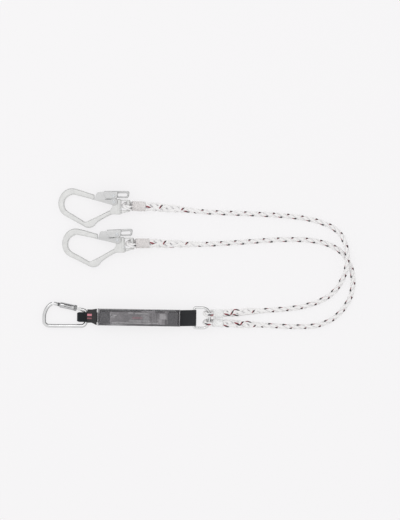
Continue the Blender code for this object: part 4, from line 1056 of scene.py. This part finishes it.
def karabinerFrame():
    axis = karabiner["axisX"]
    flat = [(-152.9, 19.8)] + arcPoints((axis - 7.5, 10.0), 7.5, 90, 0, 4)
    flat += arcPoints((axis - 12.0, -12.3), 12.0, 0, -90, 5) + [(-175.0, -24.5), (-205.0, -24.7)]
    flat += arcPoints((-232.6, -11.2), 13.4, -90, -160, 4)
    flat += [(-245.8, -1.8), (-244.2, 8.6), (-240.4, 18.6), (-235.2, 26.0), (-229.4, 31.0),
             (-225.2, 32.9)]
    hinge, z = karabiner["hinge"], karabiner["z"]
    line = smoothLine([Vector((x, y, z)) for x, y in flat], 1.6)
    body = roundBar(bmesh.new(), line, karabiner["bar"], karabiner["sides"])
    lug = plate(bmesh.new(), arcPoints(hinge, 5.4, 0, 350, 35), z - 4.9, z + 4.9, 1.2)
    body = cutShape(body, lug, "UNION")
    slot = [(hinge[0] + u, hinge[1] + v)
            for u, v in ((-9.0, -9.0), (5.8, -9.0), (5.8, 9.0), (-9.0, 9.0))]
    body = cutShape(body, plate(bmesh.new(), slot, z - 2.8, z + 2.8))
    piece = finishPiece("karabinerFrame", body, brightSteel, "karabiner", ("karabiner_frame",))
    softenEdges(piece, 0.45)


def karabinerGate():
    matrix, length = gateMatrix()
    r = karabiner["gateRadius"]
    profile = [(6.6, 1.0), (6.6, r - 0.5), (7.1, r), (length - 10.6, r), (length - 9.6, r + 0.7),
               (length - 1.4, r + 0.7), (length - 0.5, r + 0.4), (length, r - 0.6), (length, 1.0)]
    body = spunShape(profile, karabiner["sides"])
    knuckle = [(8.0, -3.2)] + arcPoints((0.0, 0.0), 4.4, -60, -300, 16) + [(8.0, 3.2)]
    body = cutShape(body, plate(bmesh.new(), knuckle, -2.5, 2.5), "UNION")
    bmesh.ops.transform(body, matrix=matrix, verts=body.verts)
    piece = finishPiece("karabinerGate", body, brightSteel, "karabiner_gate", ("karabiner_gate",))
    softenEdges(piece, 0.3)

    # a dark spring collar shows on the bare gate, between the sleeve and the nose
    coils = ((52.6, 0.1), (52.6, 0.5), (53.4, 0.8), (54.2, 0.4), (55.0, 0.8),
             (55.8, 0.4), (56.6, 0.8), (57.3, 0.5), (57.3, 0.1))
    collar = spunShape([(x, r + out) for x, out in coils], 40, closed=True)
    bmesh.ops.transform(collar, matrix=matrix, verts=collar.verts)
    finishPiece("gateSpringCollar", collar, darkSteel, "karabiner_gate", ())

    start, stop = karabiner["sleeveSpan"]
    outer, inner = karabiner["sleeveOuter"], karabiner["sleeveInner"]
    wall = [(start, outer - 0.6), (start + 0.7, outer - 0.05), (start + 3.0, outer),
            (start + 3.6, outer - 0.35), (start + 4.4, outer - 0.35), (start + 5.0, outer),
            (stop - 0.8, outer), (stop + 0.8, outer - 0.5), (stop + 1.8, outer - 1.3),
            (stop + 1.8, inner), (start, inner)]
    sleeve = spunShape(wall, 56, closed=True)
    sleeve = cutShape(sleeve, plate(bmesh.new(), roundedBox(10.5, 2.6, 2.5, 6, (31.0, 0.0)), 2.0, 12.0))
    bmesh.ops.transform(sleeve, matrix=matrix, verts=sleeve.verts)
    piece = finishPiece("twistLockSleeve", sleeve, turnedSteel, "twist_lock", ("twist_sleeve",))
    softenEdges(piece, 0.25, 50.0)

    low, high = karabiner["gripSpan"]
    grip = bmesh.new()
    rings = []
    count = karabiner["flutes"] * 8
    for x, radius, fluted in (
            (low, outer - 0.5, 1), (low + 0.7, outer + 0.25, 1), (high - 0.7, outer + 0.25, 1),
            (high, outer - 0.5, 1), (high, inner, 0), (low, inner, 0)):
        ring = []
        for k in range(count):
            angle = 2 * math.pi * k / count
            depth = radius - fluted * 0.55 * max(0.0, math.cos(angle * karabiner["flutes"])) ** 0.7
            ring.append(Vector((x, depth * math.cos(angle), depth * math.sin(angle))))
        rings.append(ring)
    wrapGrid(grip, rings + rings[:1], capped=False)
    bmesh.ops.remove_doubles(grip, verts=grip.verts, dist=1e-6)
    bmesh.ops.transform(grip, matrix=matrix, verts=grip.verts)
    finishPiece("twistGripRing", grip, darkSteel, "twist_lock", ("twist_grip_ring",),
                30.0)


ringPlan = {
    "wire": 3.5,                # radius
    "barX": 143.4,
    "bowRadius": 17.8,
    "barRadius": 4.9,
    "half": 26.4,
    "weldHalf": 2.2,
}


def dRing():
    bow, bar, half = ringPlan["bowRadius"], ringPlan["barRadius"], ringPlan["half"]
    x0, x1 = ringPlan["barX"], legPlan["ringBowX"]
    y0, z0 = legPlan["ringY"], legPlan["ringZ"]
    line = []
    for centre, radius, start in (
            ((x1 - bow, half - bow), bow, 90), ((x1 - bow, bow - half), bow, 0),
            ((x0 + bar, bar - half), bar, -90), ((x0 + bar, half - bar), bar, 180)):
        line += arcPoints(centre, radius, start, start - 90, 18)
    line = [Vector((x, y + y0, z0)) for x, y in line]
    bm = roundBar(bmesh.new(), line + line[:1], ringPlan["wire"], 28, closed=True)
    for vert in bm.verts:  # the butt weld in the bow, ground nearly flush
        away = abs(vert.co.y / mm - y0)
        if vert.co.x / mm > x1 - 6 and away < ringPlan["weldHalf"]:
            spread = 0.035 * (1 + math.cos(math.pi * away / ringPlan["weldHalf"])) / 2
            middle = Vector((x1 * mm, vert.co.y, z0 * mm))
            vert.co = middle + (vert.co - middle) * (1 + spread)
    finishPiece("dRing", bm, ringSteel, "ring", ("d_ring",))


print("karabiner and ring")
karabinerFrame()
karabinerGate()
softenEdges(dressNode("karabiner_gate_pin", zincSteel), 0.3, 30.0)
dRing()


# absorber: webbing, label, folded strap and shrunk film
absorber = {
    "length": 214.6,
    "width": 44.6,
    "height": 30.0,
    "mouth": 13.0,
    "web": 2.6,
    "foldGap": 0.4,
    "folds": 9,
    "foldLength": 186.0,
    "gap": 0.3,                 # clearance between plies, bars and cover
    "sleeveWall": 0.8,          # of the label sleeve, and of the cover under the folds
    "outerReach": 10.0,         # the outer folds run on past the straps that come out between them
    "stackY": -0.8,
    "filmStations": 260,
    "filmRound": 120,
    "black": "#191A1D",
    "navy": "#060D13",
    "grey": "#5C5B5E",
    "card": "#A09C9F",
    "print": "#F2F0F2",
    # painted shade, on the card and along the folded strap's upper edge
    "shade": "#29282B",
    "accent": "#D58693",
    "film": "#5B595D",
}


def panelMask(tree, place, middle, half, edge, strength):
    # one plain rectangle of a pattern: full strength inside, softening from edge outwards
    local = addNode(tree, "Mapping", {0: place, "Location": middle, "Scale": half},
                    vector_type="TEXTURE")
    local = addNode(tree, "VectorMath", {0: local}, operation="ABSOLUTE")
    sides = addNode(tree, "SeparateXYZ", {0: local})
    reach = addNode(tree, "Math", {0: sides, 1: sides.node.outputs["Y"]}, operation="MAXIMUM")
    return addNode(tree, "MapRange", {0: reach, 1: 1.0, 2: edge, 3: 0.0, 4: strength})


def webMaterial(name, colour, light, pitch, panels=()):
    # Polyester webbing: dull, with fine columns of small chevrons, 1.6 mm a column, a faint sheen from
    # the filaments, and a painted highlight on the weave's ridge tops, stronger in patches. UV is in
    # millimetres: across the strap, and along it.
    material, tree, shader = newMaterial(name, colour, 0.85)
    shader.inputs["Sheen Weight"].default_value = 0.3
    shader.inputs["Sheen Roughness"].default_value = 0.4
    uv = addNode(tree, "UVMap", uv_map="UVMap")
    across = addNode(tree, "SeparateXYZ", {0: uv})
    column = addNode(tree, "Math", {0: across, 1: 1.0 / pitch}, operation="MULTIPLY")
    row = addNode(tree, "Math", {0: across.node.outputs["Y"], 1: 1.0 / pitch}, operation="MULTIPLY")
    inColumn = addNode(tree, "Math", {0: column}, operation="FRACT")
    centred = addNode(tree, "Math", {0: inColumn, 1: 0.5}, operation="SUBTRACT")
    centred = addNode(tree, "Math", {0: centred}, operation="ABSOLUTE")
    chevron = addNode(tree, "Math", {0: row, 1: centred}, operation="ADD")
    wave = addNode(tree, "Math", {0: chevron, 1: 2 * math.pi}, operation="MULTIPLY")
    wave = addNode(tree, "Math", {0: wave}, operation="SINE")
    ridge = addNode(tree, "Math", {0: column, 1: math.pi}, operation="MULTIPLY")
    ridge = addNode(tree, "Math", {0: ridge}, operation="SINE")
    ridge = addNode(tree, "Math", {0: ridge}, operation="ABSOLUTE")
    height = addNode(tree, "Math", {0: wave, 1: 0.35, 2: ridge}, operation="MULTIPLY_ADD")
    lint = addNode(tree, "TexNoise", {"Vector": uv, "Scale": 0.9, "Detail": 4.0, "Roughness": 0.7})
    highlightPatches = addNode(tree, "TexNoise", {"Vector": uv, "Scale": 0.06, "Detail": 3.0})
    highlightPatches = addNode(tree, "MapRange", {0: highlightPatches, 1: 0.3, 2: 0.7, 3: 0.55, 4: 1.2})
    # painted highlight: the weave's ridge tops take the light colour, more in some patches
    lit = addNode(tree, "MapRange", {0: height, 1: -0.2, 2: 1.2, 3: 0.0, 4: 0.65})
    lit = addNode(tree, "Math", {0: lit, 1: highlightPatches}, operation="MULTIPLY")
    lint = addNode(tree, "MapRange", {0: lint, 1: 0.62, 2: 0.75, 3: 0.0, 4: 0.3})
    layers = [(lit, light), (lint, "#8C8C8E")]
    for middle, half, strength, shade in panels:
        mask = panelMask(tree, uv, (*middle, 0.0), (*half, 1.0), 0.86, strength)
        layers.append((mask, absorber[shade]))
    tone = hexColour(colour)
    for mask, layer in layers:
        tone = addNode(tree, "Mix", {"Factor": mask, 6: tone, 7: hexColour(layer)}, output=2,
                       data_type="RGBA")
    bump = addNode(tree, "Bump", {"Height": height, "Distance": 0.25 * mm, "Strength": 0.8})
    dressShader(tree, shader, Base_Color=tone, Normal=bump)
    return material


def strapBand(name, line, width, thickness, material, stands, skew=None, closed=False, wave=0.0,
              widthAt=None):
    # flat strap along a line of (x, z) points, its width along Y, with rounded selvedges
    line = smoothLine([Vector((x, 0.0, z)) for x, z in line], 1.5) if not closed else line
    dist = lineLengths(line)
    half = width / 2
    face = [half - 0.9 - (width - 1.8) * k / 16 for k in range(17)]
    section = [(w, 1.0) for w in face] + [(-half + 0.25, 0.7), (-half, 0.0), (-half + 0.25, -0.7)]
    section += [(-w, -1.0) for w in face] + [(half - 0.25, -0.7), (half, 0.0), (half - 0.25, 0.7)]
    rings = []
    last = len(line) - 1
    for i, point in enumerate(line):
        run = (line[min(i + 1, last)] - line[max(i - 1, 0)]).normalized()
        off = Vector((-run.z, 0.0, run.x))
        middle = skew(point.x) if skew else 0.0
        share = widthAt(point.x) if widthAt else 1.0
        ring = []
        for w, t in section:
            w *= share
            ripple = wave * math.sin(dist[i] * 0.09 + w * 0.05) * (abs(w) / half) ** 3
            ring.append(point + Vector((0.0, middle + w, 0.0)) + off * (t * thickness / 2 + ripple))
        rings.append(ring)
    bm = wrapGrid(bmesh.new(), rings, lambda first, c, r: (section[c % len(section)][0], dist[r]))
    finishPiece(name, bm, material, "absorber", (stands,), 50.0)


def plyHeights():
    pitch = absorber["web"] + absorber["foldGap"]
    return absorber["height"] / 2 + pitch / 2, absorber["height"] / 2 - pitch / 2


def halfTurn(x, z, radius, start, stop, step):
    return [(x + radius * math.cos(math.radians(a)), z + radius * math.sin(math.radians(a)))
            for a in range(start, stop, step)]


def webLoops():
    upper, lower = plyHeights()
    web, gap = absorber["web"], absorber["gap"]
    inside = absorber["foldLength"] / 2 + gap
    mouth = absorber["length"] / 2
    barX, ringZ = ringPlan["barX"], legPlan["ringZ"]
    radius = ringPlan["wire"] + gap + web / 2
    line = [(inside, upper), (mouth + 2.0, upper), (barX - 14.0, ringZ + radius * 0.75)]
    line += halfTurn(barX, ringZ, radius, 100, -101, -20)
    line += [(barX - 14.0, ringZ - radius * 0.75), (mouth + 2.0, lower), (inside, lower)]
    black = webMaterial("black polyester webbing", absorber["black"], "#2B2C30", 1.6)
    strapBand("ringStrap", line, 42.0, web, black, "ring_loop",
              lambda x: 1.2 * max(0.0, x - mouth) / (barX - mouth), wave=0.15)

    # narrow loop round the karabiner's end bar, drawn in a little where it bends
    flat = web / 2 + 0.15
    over = karabiner["z"] + karabiner["bar"] + 3 * gap + absorber["sleeveWall"] + web / 2
    radius = (over - flat) / 2
    turnX = -160.5 + radius + web / 2
    line = [(-inside, lower), (-mouth - 1.0, lower), (-117.0, 8.0),
            (-127.0, flat + 1.2), (-132.5, flat)]
    line += halfTurn(turnX, flat + radius, radius, 270, 89, -18)
    line += [(-131.0, over), (-120.0, over), (-mouth - 1.0, upper), (-inside, upper)]
    navy = webMaterial("dark navy polyester webbing", absorber["navy"], "#0B141B", 1.6)
    strapBand("karabinerStrap", line, 25.6, web, navy, "karabiner_loop",
              lambda x: -0.9, widthAt=lambda x: 1.0 - 0.16 * smoothStep((-154.5 - x) / 6.0))
    labelSleeve(upper, over)


def labelSleeve(upper, over):
    # woven sleeve over the loop's upper ply, with two plain woven red bars
    half = absorber["web"] / 2 + absorber["gap"] + absorber["sleeveWall"] / 2
    rise = (upper - over) / (-absorber["length"] / 2 - 1.0 + 120.0)
    centre = 2.0
    section = roundedBox(17.0, half, 1.5, 4, (centre, 0.0))
    section = [section[-1]] + section[:-1]
    rings = []
    stations = [-134.0 + 25.0 * k / 24 for k in range(25)]
    for x in stations:
        lift = over + rise * max(0.0, x + 120.0)
        flare = smoothStep((x + 124.0) / 15.0)  # it is drawn out to the cover's width at the mouth
        middle = centre - 1.8 * flare + 0.12 * math.sin(x * 1.7)
        rings.append([Vector((x, (y - centre) * (1 + 0.22 * flare) + middle, lift + z))
                      for y, z in section])

    def sleeveUv(first, c, r):  # the underside lies far off on the pattern, so it stays plain
        y, z = section[c % len(section)]
        return (y if z > 0 else 60.0 + y, stations[r])

    bm = wrapGrid(bmesh.new(), rings, sleeveUv, capped=False)
    bars = [((5.0, -129.6), (3.0, 8.0), 0.95, "accent"), ((-4.0, -129.6), (2.0, 8.0), 0.35, "accent")]
    band = webMaterial("woven label sleeve", "#2A2929", "#414043", 0.9, bars)
    piece = finishPiece("labelSleeve", bm, band, "absorber", ("label_sleeve",), 50.0)
    addModifier(piece, "wovenWall", "SOLIDIFY", thickness=0.7 * mm, offset=0.0)


def foldedStrap():
    # one strap folded to and fro; its outer folds run on past the end straps that come out between
    gap, height, folds = absorber["gap"], absorber["height"], absorber["folds"]
    pitch = absorber["web"] + absorber["foldGap"]
    first = absorber["sleeveWall"] + gap + absorber["web"] / 2
    reach = absorber["foldLength"] / 2 - pitch

    def reachAt(z):  # the middle plies stop where the end straps begin
        return reach + (absorber["outerReach"] if abs(z - height / 2) > 5.0 else 0.0)

    line = []
    for fold in range(folds):
        z = first + fold * pitch
        side = 1 if fold % 2 == 0 else -1
        left = reachAt(z - pitch / 2) if fold else reachAt(z)
        right = reachAt(z + pitch / 2) if fold < folds - 1 else reachAt(z)
        line += [Vector((side * x, 0.0, z)) for x in (-left, -left / 2, 0.0, right / 2, right)]
        if fold < folds - 1:
            for angle in (-60, -30, 0, 30, 60):
                turn = math.radians(angle)
                line.append(Vector((side * (right + math.cos(turn) * pitch / 2), 0.0,
                                    z + pitch / 2 * (1 + math.sin(turn)))))
    # a band of painted shade along the strap's upper edge, under the film's rim
    grey = webMaterial("grey tear webbing", absorber["grey"], "#706F72", 1.8,
                       [((17.6, 0.0), (4.2, 9000.0), 0.85, "shade")])
    strapBand("foldedTearStrap", line, 41.4, absorber["web"], grey, "tear_webbing",
              lambda x: absorber["stackY"], closed=True)


# the card's print and its painted shade, all plain bars and panels: middle x and y, half sizes,
# colour, strength; the shade panels are painted shade, a band under the film's upper rim and dark
# patches
cardPanels = [
    (-49, 18, 57, 4.5, "shade", 0.85), (55, 18, 13, 6.0, "shade", 0.8), (99, 16, 8, 8.0, "shade", 0.6),
    (-103, 15, 5, 7.0, "shade", 0.5), (20, -4, 8, 16, "print", 0.3), (-75, 7, 2, 3.0, "print", 0.5),
    (-63, 5, 5, 1.6, "print", 0.8), (-67, 1, 6, 1.4, "print", 0.5), (-21, 11.5, 6, 2.6, "print", 0.6),
    (8, 10.5, 18, 1.7, "print", 0.75), (-4, -1.0, 14, 3.0, "accent", 0.55),
    (2, -9.0, 28, 1.3, "print", 0.95), (-10, -14.4, 62, 1.4, "print", 0.8),
    (32, -2, 0.9, 15, "shade", 0.5), (47, -2, 1.2, 15, "shade", 0.4), (63, 3, 9, 7, "print", 0.4),
    (56, -11, 4, 6, "print", 0.25), (71, -11, 3, 7, "shade", 0.6),
]


def cardMaterial():
    # Printed paper card under the film: matt grey, with plain pale rules, one muted red bar,
    # and a band and patches of painted shade.
    material, tree, shader = newMaterial("printed grey card", absorber["card"], 0.6)
    place = addNode(tree, "TexCoord", output=3)
    paper = addNode(tree, "TexNoise", {"Vector": place, "Scale": 60.0, "Detail": 4.0})
    layers = [(addNode(tree, "MapRange", {0: paper, 1: 0.3, 2: 0.7, 3: 0.0, 4: 0.5}), "#AEAAAD")]
    for x, y, halfX, halfY, colour, strength in cardPanels:
        middle, half = (x * mm, y * mm, 0.0), (halfX * mm, halfY * mm, 1.0)
        mask = panelMask(tree, place, middle, half, 0.94, strength)
        layers.append((mask, absorber[colour]))
    tone = hexColour(absorber["card"])
    for mask, colour in layers:
        tone = addNode(tree, "Mix", {"Factor": mask, 6: tone, 7: hexColour(colour)}, output=2,
                       data_type="RGBA")
    fibre = addNode(tree, "TexNoise", {"Vector": place, "Scale": 900.0, "Detail": 2.0})
    bump = addNode(tree, "Bump", {"Height": fibre, "Distance": 0.03 * mm, "Strength": 0.5})
    dressShader(tree, shader, Base_Color=tone, Normal=bump)
    return material


# shrink ridges across the film: where along X, height and spread
filmRidges = [
    (-103.5, 0.7, 0.9), (-99.0, -0.5, 1.6), (-84.0, 0.5, 1.1), (-71.0, 0.3, 2.0), (-45.0, 0.25, 3.0),
    (14.0, 0.3, 1.4), (28.0, 0.35, 1.6), (41.0, -0.3, 1.2), (54.0, 0.3, 2.0), (76.0, 0.35, 1.5),
    (99.0, -0.5, 1.4), (103.5, 0.8, 0.9),
]
# milky places and painted highlights in it: painted highlights along the upper rim, across the
# middle and along the lower left edge, milky film with a painted highlight at each pinched mouth;
# middle, half sizes, strength
filmMilkAndHighlights = [
    ((0.0, 21.2, 15.0), (120.0, 1.5, 40.0), 0.30), ((20.0, -4.0, 30.0), (14.0, 34.0, 9.0), 0.04),
    ((5.0, 0.0, 30.0), (62.0, 40.0, 9.0), 0.10), ((-107.0, 0.0, 15.0), (4.0, 60.0, 40.0), 0.40),
    ((107.0, 0.0, 15.0), (4.0, 60.0, 40.0), 0.35), ((-60.0, -19.0, 20.0), (60.0, 5.0, 40.0), 0.22),
]


def packFilm():
    # Heat-shrunk clear film, 0.3 mm: glossy and a little grey, milky at the pinched mouths, with painted
    # highlights as hazier, paler patches along its upper rim, across its middle and along its lower
    # edge.
    # Alpha thins its reflections as well, so the index of refraction is set high to keep them.
    material, tree, shader = newMaterial("clear shrink film", absorber["film"], 0.14, IOR=1.9)
    place = addNode(tree, "TexCoord", output=3)
    large = addNode(tree, "TexNoise", {"Vector": place, "Scale": 45.0, "Detail": 4.0, "Roughness": 0.6})
    stretched = addNode(tree, "Mapping", {0: place, "Scale": (0.35, 1.0, 1.0)})
    fine = addNode(tree, "TexNoise", {"Vector": stretched, "Scale": 330.0, "Detail": 2.0})
    height = addNode(tree, "Math", {0: fine, 1: 0.2, 2: large}, operation="MULTIPLY_ADD")
    bump = addNode(tree, "Bump", {"Height": height, "Distance": 1.2 * mm, "Strength": 0.8})
    haze = addNode(tree, "MapRange", {0: large, 1: 0.35, 2: 0.7, 3: 0.14, 4: 0.34})
    # painted highlights: the film is hazier and paler in these places
    for middle, half, strength in filmMilkAndHighlights:
        local = addNode(tree, "Mapping", {0: place, "Location": tuple(v * mm for v in middle),
                                          "Scale": tuple(v * mm for v in half)}, vector_type="TEXTURE")
        near = addNode(tree, "TexGradient", {"Vector": local}, output=1, gradient_type="SPHERICAL")
        haze = addNode(tree, "Math", {0: near, 1: strength * 1.6, 2: haze}, operation="MULTIPLY_ADD")
    gloss = addNode(tree, "MapRange", {0: fine, 1: 0.3, 2: 0.7, 3: 0.08, 4: 0.2})
    pale = addNode(tree, "MapRange", {0: haze, 1: 0.3, 2: 0.7, 3: 0.0, 4: 1.0})
    film = hexColour(absorber["film"])
    tone = addNode(tree, "Mix", {"Factor": pale, 6: film, 7: hexColour("#C9C7CA")}, output=2,
                   data_type="RGBA")
    dressShader(tree, shader, Base_Color=tone, Alpha=haze, Normal=bump, Roughness=gloss)
    return material


def shrunkFilm():
    # film drawn tight over the folded strap: flat beneath, pinched to its mouths, with shrink ridges
    length, width, height, mouth = (absorber[key] for key in ("length", "width", "height", "mouth"))
    stations, count = absorber["filmStations"], absorber["filmRound"]
    rings = []
    for k in range(stations):
        x = -length / 2 + length * k / (stations - 1)
        end = min(x + length / 2, length / 2 - x)  # from the nearer mouth
        tall = mouth + (height - mouth) * smoothStep(end / 6.5) ** 0.7
        wide = width / 2 - 0.3 * smoothStep((end - 2.0) / 5.0) + 0.25 * smoothStep(1 - end / 2.0)
        ring = []
        for j in range(count):
            angle = 2 * math.pi * j / count
            c, s = math.cos(angle), math.sin(angle)
            y = wide * math.copysign(abs(c) ** 0.14, c)
            z = tall / 2 * math.copysign(abs(s) ** 0.18, s)
            ridge = 0.0
            for at, tallness, spread in filmRidges:  # each wanders a little across the pack
                shift = at + 2.2 * math.sin(y * 0.11 + at) + 0.8 * math.sin(y * 0.31 + 2 * at)
                ridge += tallness * math.exp(-((x - shift) / spread) ** 2)
            # a loose seam stands up along the film's upper edge, with a hollow beside it
            seam = 0.9 * math.exp(-((y - 20.6) / 1.0) ** 2) - 0.7 * math.exp(-((y - 17.9) / 1.1) ** 2)
            crumple = noise.fractal(Vector((x * 0.06, y * 0.11, z * 0.1)), 1.0, 2.0, 5)
            out = 0.34 * crumple + 0.6 * ridge + seam * smoothStep(end / 9.0)
            lift = out * 0.6 * max(0.0, s) * smoothStep((end + 1.0) / 8.0)
            side = min(out, 0.2) * 0.5 * abs(c) ** 4 if s > -0.5 else 0.0
            ring.append(Vector((x, y + math.copysign(side, y),
                                height / 2 + z + min(lift, 0.55) - 0.25 * max(0.0, s))))
        rings.append(ring)
    film = wrapGrid(bmesh.new(), rings, capped=False)
    piece = finishPiece("shrunkFilm", film, packFilm(), "absorber", ("clear_cover",),
                        60.0)
    addModifier(piece, "filmWall", "SOLIDIFY", thickness=0.3 * mm, offset=-1.0)


print("absorber")
webLoops()
foldedStrap()
dressNode("label_insert", cardMaterial())
shrunkFilm()

print("finish")
